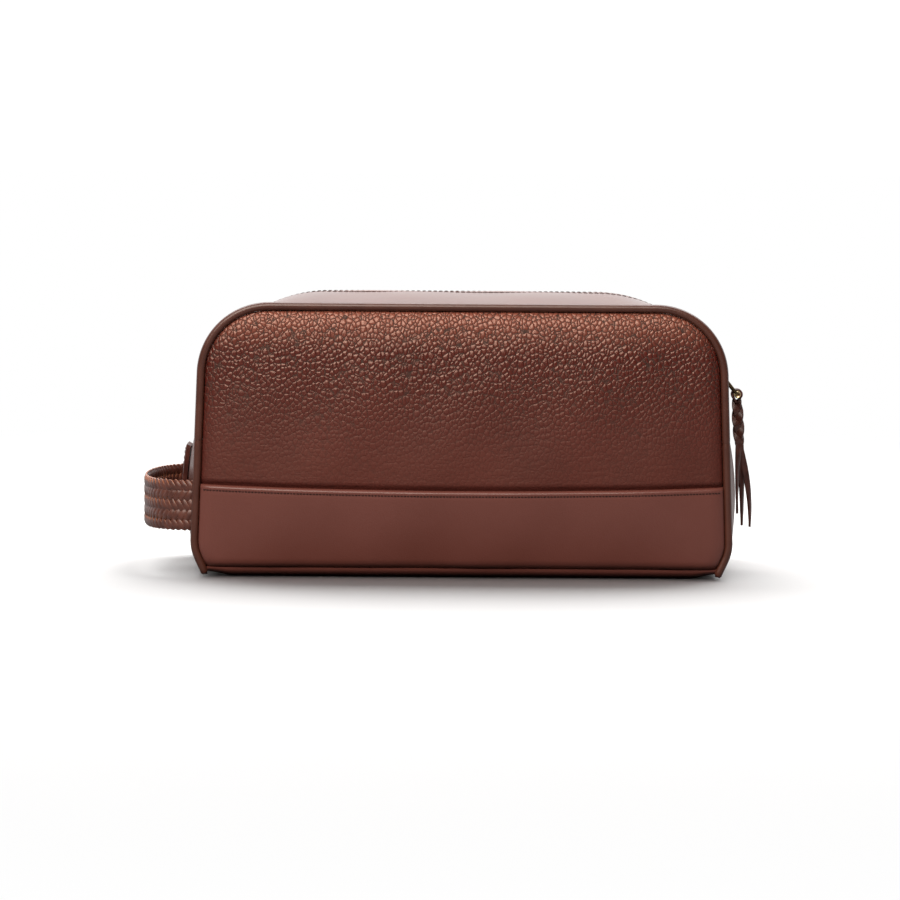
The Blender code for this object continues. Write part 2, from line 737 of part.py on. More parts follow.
def strap_solid(name, points, normals, low_high):
    grids = []
    for side in (1, -1):
        rows = []
        for point, normal, (low, high) in zip(points, normals, low_high, strict=True):
            x, y = point + normal * side * STRAP_THICKNESS / 2
            rows.append([(x, y, low), (x, y, high)])
        grids.append(rows)
    slab(name, *grids, "braided_leather")


def handle():
    """The strap's bow moves, and the two sewn ends stay. An end slopes away from the bow, to let it tilt."""
    points, normals = strap_curve(23)
    along = np.concatenate([[0], np.cumsum(np.linalg.norm(np.diff(points, axis=0), axis=1))])
    total = float(along[-1])
    low, high = STRAP_HEIGHT - STRAP_WIDTH / 2, STRAP_HEIGHT + STRAP_WIDTH / 2

    def between(start, end, count):
        places = np.linspace(start, end, count)
        line = np.stack([np.interp(places, along, points[:, k]) for k in (0, 1)], axis=1)
        facing = np.stack([np.interp(places, along, normals[:, k]) for k in (0, 1)], axis=1)
        return line, facing / np.linalg.norm(facing, axis=1)[:, None]

    bow = between(STUB_LENGTH + GAP, total - STUB_LENGTH - GAP, 25)
    strap_solid("handle_strap", *bow, [(low, high)] * 25)

    slope = STRAP_WIDTH / 2 * math.sin(HANDLE_SWING) / STUB_LENGTH
    for name, start, end in (
        ("handle_end_front", 0.0, STUB_LENGTH),
        ("handle_end_back", total, total - STUB_LENGTH),
    ):
        line, facing = between(start, end, 4)
        heights = []
        for share in np.linspace(0, 1, 4):
            reach = STRAP_WIDTH / 2 * (1 if share <= 1 - slope else (1 - share) / slope)
            reach = max(reach, GAP)
            heights.append((STRAP_HEIGHT - reach, STRAP_HEIGHT + reach))
        strap_solid(name, line, facing, heights)


def zip_end_tab():
    outer = GUSSET_OUTER + GAP + TAB_THICKNESS
    inner = GUSSET_OUTER + GAP
    places = across(-TAB_WIDTH / 2, TAB_WIDTH / 2, 3)
    start, end = length_at(TAB_BOTTOM, -1), length_at(TAB_TOP, -1)
    gusset_slab("zip_end_tab", start, end, places, outer, inner, "dark_leather")


def main():
    clear_scene()
    front_panels()
    back_panels()
    pipings()
    gussets()
    base()
    lining()
    zip_rows()
    pull_link(slider())
    thong_loop()
    thong_braid()
    thong_tails()
    handle()
    zip_end_tab()


main()
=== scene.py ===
# Leather shaving kit bag: the finished look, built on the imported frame
import math

import bmesh
import bpy
import numpy as np
from mathutils import Matrix, Vector


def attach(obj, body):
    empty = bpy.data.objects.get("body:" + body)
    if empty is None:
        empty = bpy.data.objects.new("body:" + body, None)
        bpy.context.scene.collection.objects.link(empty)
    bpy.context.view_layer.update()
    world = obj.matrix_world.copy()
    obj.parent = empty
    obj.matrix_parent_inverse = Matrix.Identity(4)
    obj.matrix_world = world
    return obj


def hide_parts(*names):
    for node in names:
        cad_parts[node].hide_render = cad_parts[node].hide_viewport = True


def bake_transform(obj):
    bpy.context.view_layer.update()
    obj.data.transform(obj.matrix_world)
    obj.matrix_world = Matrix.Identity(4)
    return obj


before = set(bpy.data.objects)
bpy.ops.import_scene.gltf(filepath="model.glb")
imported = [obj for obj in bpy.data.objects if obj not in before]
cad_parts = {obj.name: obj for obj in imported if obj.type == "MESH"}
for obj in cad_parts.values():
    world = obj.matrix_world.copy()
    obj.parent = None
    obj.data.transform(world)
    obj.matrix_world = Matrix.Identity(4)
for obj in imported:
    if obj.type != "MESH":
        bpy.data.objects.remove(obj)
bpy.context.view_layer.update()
sceneCollection = bpy.context.scene.collection

# The shape of the bag, in metres: the seam line round the panels and the crest line along the zip
bagShape = {
    "footHalf": 0.1277,
    "footHeight": 0.0024,
    "hipHalf": 0.1330,
    "hipHeight": 0.0140,
    "hipRadius": 0.020,
    "shoulderHalf": 0.1285,
    "seamHeight": 0.1347,
    "shoulderRadius": 0.034,
    "seamDepth": 0.102,
    "crestHeight": 0.1400,
    "crestRadius": 0.066,
    "crossHeight": 0.070,
    "crossBulge": 0.0034,
    "endSwell": 0.0030,
    "foldStart": 0.066,
    "foldEnd": 0.112,
}


# small tools


def smooth(share):
    share = np.clip(share, 0.0, 1.0)
    return share * share * (3 - 2 * share)


def rounded(distance, radius):
    # 0 at an edge, 1 a radius inside it, along a quarter circle
    share = 1 - np.clip(distance / radius, 0.0, 1.0)
    return np.sqrt(np.clip(1 - share * share, 0.0, 1.0))


def unit(rows):
    return rows / np.maximum(np.linalg.norm(rows, axis=-1, keepdims=True), 1e-12)


def lengthsOf(points):
    return np.concatenate([[0.0], np.cumsum(np.linalg.norm(np.diff(points, axis=0), axis=1))])


def resample(points, places):
    lengths = lengthsOf(points)
    return np.stack([np.interp(places, lengths, points[:, k]) for k in range(points.shape[1])], axis=1)


def smoothPath(points, count):
    # a smooth curve through a few points, evenly spaced
    points = np.array(points, float)
    padded = np.vstack([2 * points[0] - points[1], points, 2 * points[-1] - points[-2]])
    made = []
    for a, b, c, d in zip(padded, padded[1:], padded[2:], padded[3:]):
        t = np.linspace(0, 1, 24, endpoint=False)[:, None]
        square = (2 * a - 5 * b + 4 * c - d) * t**2
        cube = (3 * b - a - 3 * c + d) * t**3
        made.append(0.5 * (2 * b + (c - a) * t + square + cube))
    dense = np.vstack([*made, points[-1:]])
    return resample(dense, np.linspace(0, lengthsOf(dense)[-1], count))


def newObject(name, mesh):
    made = bpy.data.objects.new(name, mesh)
    sceneCollection.objects.link(made)
    return made


def asPlainMesh(piece):
    # applies the modifiers and leaves a plain mesh
    graph = bpy.context.evaluated_depsgraph_get()
    mesh = bpy.data.meshes.new_from_object(piece.evaluated_get(graph), depsgraph=graph)
    mesh.name = piece.name
    piece.modifiers.clear()
    piece.data = mesh
    return piece


def faceOutwards(mesh):
    shape = bmesh.new()
    shape.from_mesh(mesh)
    bmesh.ops.recalc_face_normals(shape, faces=shape.faces)
    shape.to_mesh(mesh)
    shape.free()


def weldSeam(piece):
    # closes the seam where the first and last rows of points meet
    shape = bmesh.new()
    shape.from_mesh(piece.data)
    bmesh.ops.remove_doubles(shape, verts=shape.verts, dist=1e-6)
    bmesh.ops.recalc_face_normals(shape, faces=shape.faces)
    shape.to_mesh(piece.data)
    shape.free()
    return piece


def gridObject(name, grid, outward, material, thickness=0.0, loop=False, closedEnds=False):
    # a sheet from rows of points, with a UV map in metres, made as thick as asked
    rows, columns = grid.shape[:2]
    index = np.arange(rows * columns).reshape(rows, columns)
    if loop:
        index = np.hstack([index, index[:, :1]])
    quads = np.stack([index[:-1, :-1], index[:-1, 1:], index[1:, 1:], index[1:, :-1]], axis=-1).reshape(-1, 4)
    flat = grid.reshape(-1, 3)
    if outward is not None:
        a, b, d = flat[quads[:, 0]], flat[quads[:, 1]], flat[quads[:, 3]]
        normals = np.cross(b - a, d - a)
        facing = (normals * outward((a + b + d) / 3)).sum()
        if facing < 0:
            quads = quads[:, ::-1]
    faces = quads.tolist()
    if closedEnds:
        faces.append(index[0, :columns].tolist())
        faces.append(index[-1, :columns][::-1].tolist())
    mesh = bpy.data.meshes.new(name)
    mesh.from_pydata(flat.tolist(), [], faces)
    across = np.zeros((rows, columns))
    across[:, 1:] = np.cumsum(np.linalg.norm(np.diff(grid, axis=1), axis=2), axis=1)
    along = np.zeros((rows, columns))
    along[1:] = np.cumsum(np.linalg.norm(np.diff(grid, axis=0), axis=2), axis=0)
    places = np.stack([across, along], axis=-1).reshape(-1, 2)
    corners = np.empty(len(mesh.loops), np.int32)
    mesh.loops.foreach_get("vertex_index", corners)
    mesh.uv_layers.new(name="UVMap").data.foreach_set("uv", places[corners].astype(np.float32).ravel())
    mesh.shade_smooth()
    mesh.materials.append(material)
    piece = newObject(name, mesh)
    if thickness:
        solid = piece.modifiers.new("thickness", "SOLIDIFY")
        solid.thickness = thickness
        solid.offset = -1.0
        asPlainMesh(piece)
        faceOutwards(piece.data)
    elif closedEnds:
        faceOutwards(piece.data)
    piece.data.set_sharp_from_angle(angle=math.radians(50))
    return piece


def ribbonGrid(path, widthWay, width, thickness, corner=0.35):
    # rings of a flat strip with rounded edges along a path
    count = len(path)
    ways = unit(np.gradient(path, axis=0))
    widthWay = unit(widthWay - ways * (widthWay * ways).sum(axis=1, keepdims=True))
    thickWay = np.cross(ways, widthWay)
    width = np.broadcast_to(width, (count,))[:, None, None]
    thickness = np.broadcast_to(thickness, (count,))[:, None, None]
    inset = 1 - corner
    under = [(-1, -inset), (-0.8, -1), (0, -1), (0.8, -1), (1, -inset)]
    over = [(1, inset), (0.8, 1), (0, 1.08), (-0.8, 1), (-1, inset)]
    ring = np.array(under + over)[None]
    across = ring[..., :1] * width / 2 * widthWay[:, None, :]
    through = ring[..., 1:] * thickness / 2 * thickWay[:, None, :]
    return path[:, None, :] + across + through


def markEdges(piece, ringLength, marked):
    # 1 on the marked points of every ring of a strip, 0 on the rest
    values = np.zeros(len(piece.data.vertices), np.float32)
    for place in marked:
        values[place::ringLength] = 1.0
    piece.data.attributes.new("edge", "FLOAT", "POINT").data.foreach_set("value", values)


def joinPieces(name, pieces):
    # several pieces made into one mesh
    shape = bmesh.new()
    materials = []
    for piece in pieces:
        first = len(shape.faces)
        shape.from_mesh(piece.data)
        shape.faces.ensure_lookup_table()
        for material in piece.data.materials:
            if material not in materials:
                materials.append(material)
        slots = [materials.index(material) for material in piece.data.materials]
        for face in shape.faces[first:]:
            face.material_index = slots[min(face.material_index, len(slots) - 1)]
    mesh = bpy.data.meshes.new(name)
    shape.to_mesh(mesh)
    shape.free()
    for material in materials:
        mesh.materials.append(material)
    for piece in pieces:
        bpy.data.objects.remove(piece, do_unlink=True)
    return newObject(name, mesh)


# seam line and crest line


def cornerArc(before, corner, after, radius):
    before, corner, after = (np.array(point, float) for point in (before, corner, after))
    into = unit(corner - before)
    out = unit(after - corner)
    turn = math.acos(float(np.clip(into @ out, -1, 1)))
    outward = np.array([-into[1], into[0]])
    first = math.atan2(outward[1], outward[0])
    return corner - into * radius * math.tan(turn / 2) - outward * radius, first, first - turn


def seamTable(shape):
    right = [
        (shape["shoulderHalf"], shape["seamHeight"], shape["shoulderRadius"]),
        (shape["hipHalf"], shape["hipHeight"], shape["hipRadius"]),
        (shape["footHalf"], shape["footHeight"], 0.0),
    ]
    corners = [(-x, z, radius) for x, z, radius in reversed(right)] + right
    rows = []
    for number, (x, z, radius) in enumerate(corners):
        if radius == 0.0:
            other = corners[1] if number == 0 else corners[-2]
            along = unit(np.array([other[0] - x, other[1] - z])) * (-1 if number else 1)
            rows.append((np.array([x, z]), np.array([-along[1], along[0]])))
            continue
        centre, first, last = cornerArc(corners[number - 1][:2], (x, z), corners[number + 1][:2], radius)
        for angle in np.linspace(first, last, 30):
            normal = np.array([math.cos(angle), math.sin(angle)])
            rows.append((centre + normal * radius, normal))
    points = np.array([row[0] for row in rows])
    normals = np.array([row[1] for row in rows])
    lengths = lengthsOf(points)
    places = np.unique(np.concatenate([lengths, np.arange(0, lengths[-1], 0.001)]))
    line = np.stack([np.interp(places, lengths, points[:, k]) for k in (0, 1)], axis=1)
    facing = unit(np.stack([np.interp(places, lengths, normals[:, k]) for k in (0, 1)], axis=1))
    return places, line, facing


seamPlaces, seamLine, seamFacing = seamTable(bagShape)
seamLength = float(seamPlaces[-1])
shoulderX = cornerArc(
    (-bagShape["shoulderHalf"], bagShape["seamHeight"]),
    (bagShape["shoulderHalf"], bagShape["seamHeight"]),
    (bagShape["hipHalf"], bagShape["hipHeight"]),
    bagShape["shoulderRadius"],
)[0][0]
shoulderZ = bagShape["seamHeight"] - bagShape["shoulderRadius"]


def seamAt(places):
    point = np.stack([np.interp(places, seamPlaces, seamLine[:, k]) for k in (0, 1)], axis=-1)
    facing = np.stack([np.interp(places, seamPlaces, seamFacing[:, k]) for k in (0, 1)], axis=-1)
    return point, unit(facing)


def placeAt(height, side):
    # the length along the seam where its left (-1) or right (+1) half is at a height
    half = seamLine[:, 0] * side > 0
    heights, places = seamLine[half, 1], seamPlaces[half]
    order = np.argsort(heights, kind="stable")
    return np.interp(height, heights[order], places[order])


crossLeft = float(placeAt(bagShape["crossHeight"], -1))
crossRight = float(placeAt(bagShape["crossHeight"], 1))
crestCentreZ = bagShape["crestHeight"] - bagShape["crestRadius"]
crossAngle = math.asin((bagShape["crossHeight"] - crestCentreZ) / bagShape["crestRadius"])
crossOut = float(seamAt(crossRight)[0][0]) + bagShape["crossBulge"]
crestCentreX = crossOut - bagShape["crestRadius"] * math.cos(crossAngle)
crestHalf = crestCentreX + bagShape["crestRadius"] * (math.pi / 2 - crossAngle)
crestScale = crestHalf / (crossRight - seamLength / 2)


def crestAt(places):
    places = np.asarray(places, float)
    edge, facing = seamAt(places)
    share = np.minimum(places, seamLength - places) / crossLeft
    swell = bagShape["crossBulge"] * share + 4 * bagShape["endSwell"] * share * (1 - share)
    lower = edge + facing * swell[..., None]
    along = (places - seamLength / 2) * crestScale
    side = np.sign(along) + (along == 0)
    angle = math.pi / 2 - np.maximum(0.0, np.abs(along) - crestCentreX) / bagShape["crestRadius"]
    arcFacing = np.stack([side * np.cos(angle), np.sin(angle)], axis=-1)
    centreX = side * np.minimum(np.abs(along), crestCentreX)
    centre = np.stack([centreX, np.full_like(along, crestCentreZ)], axis=-1)
    upper = centre + arcFacing * bagShape["crestRadius"]
    isLower = ((places < crossLeft) | (places > crossRight))[..., None]
    return np.where(isLower, lower, upper), np.where(isLower, facing, arcFacing)


def gussetPoint(places, y, offset):
    # the gusset swells from the seam line at its edges to the crest in its middle
    places, y, offset = np.broadcast_arrays(np.asarray(places, float), y, offset)
    edge, edgeFacing = seamAt(places)
    crest, crestFacing = crestAt(places)
    share = (1 - (2 * y / bagShape["seamDepth"]) ** 2)[..., None]
    facing = unit(edgeFacing * (1 - share) + crestFacing * share)
    flat = edge + (crest - edge) * share + facing * offset[..., None]
    return np.stack([flat[..., 0], y, flat[..., 1]], axis=-1)


def fromMiddle(points):
    return points - np.array([0.0, 0.0, 0.065])


# shader groups and materials


def nodeOf(tree, kind, **values):
    made = tree.nodes.new(kind)
    for key, value in values.items():
        setattr(made, key, value)
    return made


def newGroup(name, inputs, outputs):
    group = bpy.data.node_groups.new(name, "ShaderNodeTree")
    for label, kind, value in inputs:
        socket = group.interface.new_socket(label, in_out="INPUT", socket_type=kind)
        if value is not None:
            socket.default_value = value
    for label, kind in outputs:
        group.interface.new_socket(label, in_out="OUTPUT", socket_type=kind)
    return group, group.nodes.new("NodeGroupInput"), group.nodes.new("NodeGroupOutput")


def mathNode(tree, operation, first, second, clamp=False):
    made = nodeOf(tree, "ShaderNodeMath", operation=operation, use_clamp=clamp)
    for socket, value in zip(made.inputs, (first, second)):
        if hasattr(value, "links"):
            tree.links.new(value, socket)
        else:
            socket.default_value = value
    return made.outputs[0]


def rampNode(tree, value, low, high):
    made = nodeOf(tree, "ShaderNodeMapRange", interpolation_type="SMOOTHSTEP")
    tree.links.new(value, made.inputs["Value"])
    made.inputs["From Min"].default_value = low
    made.inputs["From Max"].default_value = high
    return made.outputs["Result"]


pebbleShape = {
    "warpScale": 420.0,
    "randomness": 0.85,
    "domeFall": -1.3,
    "shoulderWidth": 0.34,
    "shoulderShare": 0.9,
    "creaseShare": 0.35,
    "fineScale": 1500.0,
    "fineShare": 0.08,
}


def pebbleGroup():
    # cells of grained leather: height of the pebbles, and the creases between them
    look = pebbleShape
    floatKind, vectorKind = "NodeSocketFloat", "NodeSocketVector"
    group, given, result = newGroup(
        "pebbleGrain",
        [
            ("Vector", vectorKind, None),
            ("Cell Scale", floatKind, 600.0),
            ("Wander", floatKind, 0.0010),
            ("Crease", floatKind, 0.10),
        ],
        [("Height", floatKind), ("Crease Mask", floatKind)],
    )
    warp = nodeOf(group, "ShaderNodeTexNoise")
    warp.inputs["Scale"].default_value = look["warpScale"]
    warp.inputs["Detail"].default_value = 2.0
    centred = nodeOf(group, "ShaderNodeVectorMath", operation="SUBTRACT")
    centred.inputs[1].default_value = (0.5, 0.5, 0.5)
    scaled = nodeOf(group, "ShaderNodeVectorMath", operation="SCALE")
    moved = nodeOf(group, "ShaderNodeVectorMath", operation="ADD")
    group.links.new(given.outputs["Vector"], warp.inputs["Vector"])
    group.links.new(warp.outputs["Color"], centred.inputs[0])
    group.links.new(centred.outputs[0], scaled.inputs[0])
    group.links.new(given.outputs["Wander"], scaled.inputs["Scale"])
    group.links.new(given.outputs["Vector"], moved.inputs[0])
    group.links.new(scaled.outputs[0], moved.inputs[1])
    edges = nodeOf(group, "ShaderNodeTexVoronoi", feature="DISTANCE_TO_EDGE")
    cells = nodeOf(group, "ShaderNodeTexVoronoi", feature="F1")
    for voronoi in (edges, cells):
        group.links.new(moved.outputs[0], voronoi.inputs["Vector"])
        group.links.new(given.outputs["Cell Scale"], voronoi.inputs["Scale"])
        voronoi.inputs["Randomness"].default_value = look["randomness"]
    crease = rampNode(group, edges.outputs["Distance"], 0.0, 0.2)
    group.links.new(given.outputs["Crease"], crease.node.inputs["From Max"])
    # a pebble is round on top: it falls away with the square of the distance from its middle
    squared = mathNode(group, "POWER", cells.outputs["Distance"], 2.0)
    dome = mathNode(group, "MULTIPLY", squared, look["domeFall"])
    nearEdge = rampNode(group, edges.outputs["Distance"], 0.0, look["shoulderWidth"])
    shoulder = mathNode(group, "MULTIPLY", nearEdge, look["shoulderShare"])
    fine = nodeOf(group, "ShaderNodeTexNoise")
    fine.inputs["Scale"].default_value = look["fineScale"]
    group.links.new(given.outputs["Vector"], fine.inputs["Vector"])
    pressed = mathNode(group, "MULTIPLY", crease, look["creaseShare"])
    body = mathNode(group, "ADD", mathNode(group, "ADD", shoulder, dome), pressed)
    height = mathNode(group, "ADD", body, mathNode(group, "MULTIPLY", fine.outputs["Fac"], look["fineShare"]))
    group.links.new(height, result.inputs["Height"])
    group.links.new(crease, result.inputs["Crease Mask"])
    return group


def finishGroup():
    # slow mottling and fine pores that every leather here has
    floatKind, vectorKind = "NodeSocketFloat", "NodeSocketVector"
    group, given, result = newGroup(
        "leatherFinish",
        [("Vector", vectorKind, None), ("Mottle Scale", floatKind, 40.0), ("Pore Scale", floatKind, 1800.0)],
        [("Mottle", floatKind), ("Pores", floatKind)],
    )
    mottle = nodeOf(group, "ShaderNodeTexNoise")
    mottle.inputs["Detail"].default_value = 5.0
    mottle.inputs["Roughness"].default_value = 0.6
    pores = nodeOf(group, "ShaderNodeTexVoronoi", feature="F1")
    for made, scale in ((mottle, "Mottle Scale"), (pores, "Pore Scale")):
        group.links.new(given.outputs["Vector"], made.inputs["Vector"])
        group.links.new(given.outputs[scale], made.inputs["Scale"])
    group.links.new(mottle.outputs["Fac"], result.inputs["Mottle"])
    group.links.new(pores.outputs["Distance"], result.inputs["Pores"])
    return group


pebbleGrain = pebbleGroup()
leatherFinish = finishGroup()


def placeGroup(tree, group, coordinates, **values):
    made = nodeOf(tree, "ShaderNodeGroup", node_tree=group)
    tree.links.new(coordinates, made.inputs["Vector"])
    for label, value in values.items():
        made.inputs[label.replace("_", " ")].default_value = value
    return made


def mixColours(tree, factor, dark, light):
    made = nodeOf(tree, "ShaderNodeMix", data_type="RGBA")
    tree.links.new(factor, made.inputs["Factor"])
    for label, colour in (("A", dark), ("B", light)):
        socket = [s for s in made.inputs if s.name == label and s.type == "RGBA"][0]
        if hasattr(colour, "links"):
            tree.links.new(colour, socket)
        else:
            socket.default_value = (*colour, 1.0)
    return [s for s in made.outputs if s.type == "RGBA"][0]


def startMaterial(name, roughness, specular=0.5):
    material = bpy.data.materials.new(name)
    material.use_nodes = True
    tree = material.node_tree
    shader = tree.nodes["Principled BSDF"]
    shader.inputs["Roughness"].default_value = roughness
    shader.inputs["Specular IOR Level"].default_value = specular
    coordinates = nodeOf(tree, "ShaderNodeTexCoord")
    return material, tree, shader, coordinates


def addBump(tree, shader, height, distance, strength=1.0, under=None):
    bump = nodeOf(tree, "ShaderNodeBump")
    bump.inputs["Distance"].default_value = distance
    bump.inputs["Strength"].default_value = strength
    tree.links.new(height, bump.inputs["Height"])
    if under:
        tree.links.new(under.outputs["Normal"], bump.inputs["Normal"])
    tree.links.new(bump.outputs["Normal"], shader.inputs["Normal"])
    return bump


def roughnessFrom(tree, shader, value, low, high):
    made = nodeOf(tree, "ShaderNodeMapRange")
    tree.links.new(value, made.inputs["Value"])
    made.inputs["To Min"].default_value = low
    made.inputs["To Max"].default_value = high
    tree.links.new(made.outputs["Result"], shader.inputs["Roughness"])


def stretched(tree, coordinates, scale, lean):
    made = nodeOf(tree, "ShaderNodeMapping")
    made.inputs["Scale"].default_value = scale
    made.inputs["Rotation"].default_value = (0.0, lean, 0.0)
    tree.links.new(coordinates, made.inputs["Vector"])
    return made.outputs["Vector"]


grainedLook = {
    "pebbleSize": 0.0025,
    "pebbleHeight": 0.00016,
    "dark": (0.062, 0.0080, 0.0050),
    "light": (0.074, 0.0108, 0.0068),
    # the dark colour laid into the creases between the pebbles is painted shade
    "crease": (0.012, 0.0022, 0.0016),
    # the pale warm colour over the top of the panel is a painted sheen
    "paintedSheen": (0.205, 0.066, 0.043),
    "paintedSheenFrom": 0.110,
    "specular": 0.60,
    "specularTint": (1.0, 0.79, 0.68),
    "roughness": 0.30,
    "roughest": 0.70,
    "flattened": (0.050, 0.112),
    "flatShare": 0.22,
    "pebbleStretch": (1.2, 1.0, 0.9),
    "pebbleLean": 0.45,
    "wrinkleScale": (70.0, 70.0, 300.0),
    "wrinkleLean": -0.12,
    "wrinkleHeight": 0.000035,
    "wrinkleWidth": 0.13,
    "mottleScale": 28.0,
    "shineLow": 0.25,
}


def grainedLeather():
    look = grainedLook
    material, tree, shader, coordinates = startMaterial("grainedLeather", look["roughness"], look["specular"])
    leaning = stretched(tree, coordinates.outputs["Object"], look["pebbleStretch"], look["pebbleLean"])
    grain = placeGroup(tree, pebbleGrain, leaning, Cell_Scale=1 / look["pebbleSize"])
    finish = placeGroup(tree, leatherFinish, coordinates.outputs["Object"], Mottle_Scale=look["mottleScale"])
    dyed = mixColours(tree, rampNode(tree, finish.outputs["Mottle"], 0.3, 0.7), look["dark"], look["light"])
    split = nodeOf(tree, "ShaderNodeSeparateXYZ")
    tree.links.new(coordinates.outputs["Object"], split.inputs["Vector"])
    # a painted sheen: the colour turns paler and warmer towards the top of the panel, where its rounded top
    # catches the light
    paintedSheen = rampNode(tree, split.outputs["Z"], look["paintedSheenFrom"], bagShape["seamHeight"])
    base = mixColours(tree, paintedSheen, dyed, look["paintedSheen"])
    # the grain is pressed flatter low down, where the hide is pulled tight over the band, and the painted
    # shade in its creases fades with it
    upward = rampNode(tree, split.outputs["Z"], *look["flattened"])
    raised = mathNode(tree, "MULTIPLY", upward, 1 - look["flatShare"])
    depth = mathNode(tree, "ADD", raised, look["flatShare"])
    crease = mathNode(tree, "MULTIPLY", mathNode(tree, "SUBTRACT", 1.0, grain.outputs["Crease Mask"]), depth)
    pebble = mathNode(tree, "SUBTRACT", 1.0, crease)
    # painted shade: the creases between the pebbles take a far darker colour than the hide
    colour = mixColours(tree, pebble, look["crease"], base)
    tree.links.new(colour, shader.inputs["Base Color"])
    # hide that is pulled tight is duller than the rounded top
    lift = mathNode(tree, "MULTIPLY", upward, 1 - look["shineLow"])
    shine = mathNode(tree, "MULTIPLY", pebble, mathNode(tree, "ADD", lift, look["shineLow"]))
    roughnessFrom(tree, shader, shine, look["roughest"], look["roughness"])
    shader.inputs["Specular Tint"].default_value = (*look["specularTint"], 1.0)
    # long shallow wrinkles run across the hide
    wrinkle = nodeOf(tree, "ShaderNodeTexNoise")
    wrinkle.inputs["Scale"].default_value = 1.0
    wrinkle.inputs["Detail"].default_value = 3.0
    lain = stretched(tree, coordinates.outputs["Object"], look["wrinkleScale"], look["wrinkleLean"])
    tree.links.new(lain, wrinkle.inputs["Vector"])
    ridge = mathNode(tree, "ABSOLUTE", mathNode(tree, "SUBTRACT", wrinkle.outputs["Fac"], 0.5), 0.0)
    valley = rampNode(tree, ridge, 0.0, look["wrinkleWidth"])
    soft = addBump(tree, shader, valley, look["wrinkleHeight"])
    relief = mathNode(tree, "MULTIPLY", grain.outputs["Height"], depth)
    addBump(tree, shader, relief, look["pebbleHeight"], under=soft)
    return material


poreScale = 1500.0
poreHeight = 0.00004
poreStrength = 0.6


def smoothLeather(name, dark, light, roughness=0.40, specular=0.4, mottle=30.0):
    material, tree, shader, coordinates = startMaterial(name, roughness, specular)
    place = coordinates.outputs["Object"]
    finish = placeGroup(tree, leatherFinish, place, Mottle_Scale=mottle, Pore_Scale=poreScale)
    colour = mixColours(tree, rampNode(tree, finish.outputs["Mottle"], 0.3, 0.7), dark, light)
    tree.links.new(colour, shader.inputs["Base Color"])
    roughnessFrom(tree, shader, finish.outputs["Mottle"], roughness - 0.06, roughness + 0.08)
    addBump(tree, shader, finish.outputs["Pores"], poreHeight, poreStrength)
    return material


def lightenEdges(material, colour):
    # the edges of a thong, marked in the mesh, are paler than its face: partly the raw cut edge, partly a
    # painted highlight where the edges catch the light
    tree = material.node_tree
    shader = tree.nodes["Principled BSDF"]
    mark = nodeOf(tree, "ShaderNodeAttribute", attribute_name="edge")
    face = shader.inputs["Base Color"].links[0].from_socket
    paleEdgeMask = rampNode(tree, mark.outputs["Fac"], 0.62, 1.0)
    tree.links.new(mixColours(tree, paleEdgeMask, face, colour), shader.inputs["Base Color"])


def wovenCloth(name, dark, light, pitch, roughness=0.85):
    material, tree, shader, coordinates = startMaterial(name, roughness, 0.2)
    waves = []
    for direction in ("X", "Y"):
        wave = nodeOf(tree, "ShaderNodeTexWave", wave_type="BANDS", bands_direction=direction)
        wave.inputs["Scale"].default_value = math.pi / 10 / pitch
        tree.links.new(coordinates.outputs["UV"], wave.inputs["Vector"])
        waves.append(wave.outputs["Fac"])
    weave = mathNode(tree, "MULTIPLY", waves[0], waves[1])
    finish = placeGroup(tree, leatherFinish, coordinates.outputs["Object"], Mottle_Scale=60.0)
    mixed = mathNode(tree, "MULTIPLY", weave, mathNode(tree, "ADD", finish.outputs["Mottle"], 0.4), True)
    tree.links.new(mixColours(tree, mixed, dark, light), shader.inputs["Base Color"])
    addBump(tree, shader, weave, pitch * 0.35)
    return material


def agedMetal(name, dark, light, roughness):
    material, tree, shader, coordinates = startMaterial(name, roughness)
    shader.inputs["Metallic"].default_value = 1.0
    finish = placeGroup(tree, leatherFinish, coordinates.outputs["Object"], Mottle_Scale=420.0)
    patina = rampNode(tree, finish.outputs["Mottle"], 0.35, 0.65)
    tree.links.new(mixColours(tree, patina, dark, light), shader.inputs["Base Color"])
    roughnessFrom(tree, shader, patina, roughness + 0.18, roughness)
    addBump(tree, shader, finish.outputs["Mottle"], 0.00003)
    return material


# the dark and light of each finish, and how rough and how glossy it is
leatherLooks = {
    "bandLeather": {"dark": (0.118, 0.038, 0.029), "light": (0.126, 0.041, 0.032), "roughness": 0.36},
    "gussetLeather": {
        "dark": (0.088, 0.027, 0.018),
        "light": (0.106, 0.035, 0.024),
        "roughness": 0.29,
        "specular": 0.6,
    },
    "pipingLeather": {
        "dark": (0.054, 0.016, 0.0095),
        "light": (0.072, 0.022, 0.013),
        "roughness": 0.34,
        "specular": 0.5,
        "mottle": 60.0,
    },
    "strapLeather": {
        "dark": (0.052, 0.015, 0.010),
        "light": (0.100, 0.032, 0.021),
        "roughness": 0.38,
        "specular": 0.5,
        "mottle": 220.0,
    },
    "darkLeather": {
        "dark": (0.044, 0.013, 0.0095),
        "light": (0.092, 0.028, 0.020),
        "roughness": 0.42,
        "specular": 0.45,
        "mottle": 160.0,
    },
    "threadBrown": {
        "dark": (0.026, 0.007, 0.005),
        "light": (0.044, 0.012, 0.009),
        "roughness": 0.60,
        "specular": 0.3,
        "mottle": 500.0,
    },
    "boardPlastic": {
        "dark": (0.060, 0.056, 0.052),
        "light": (0.085, 0.080, 0.075),
        "roughness": 0.6,
        "specular": 0.3,
        "mottle": 80.0,
    },
}
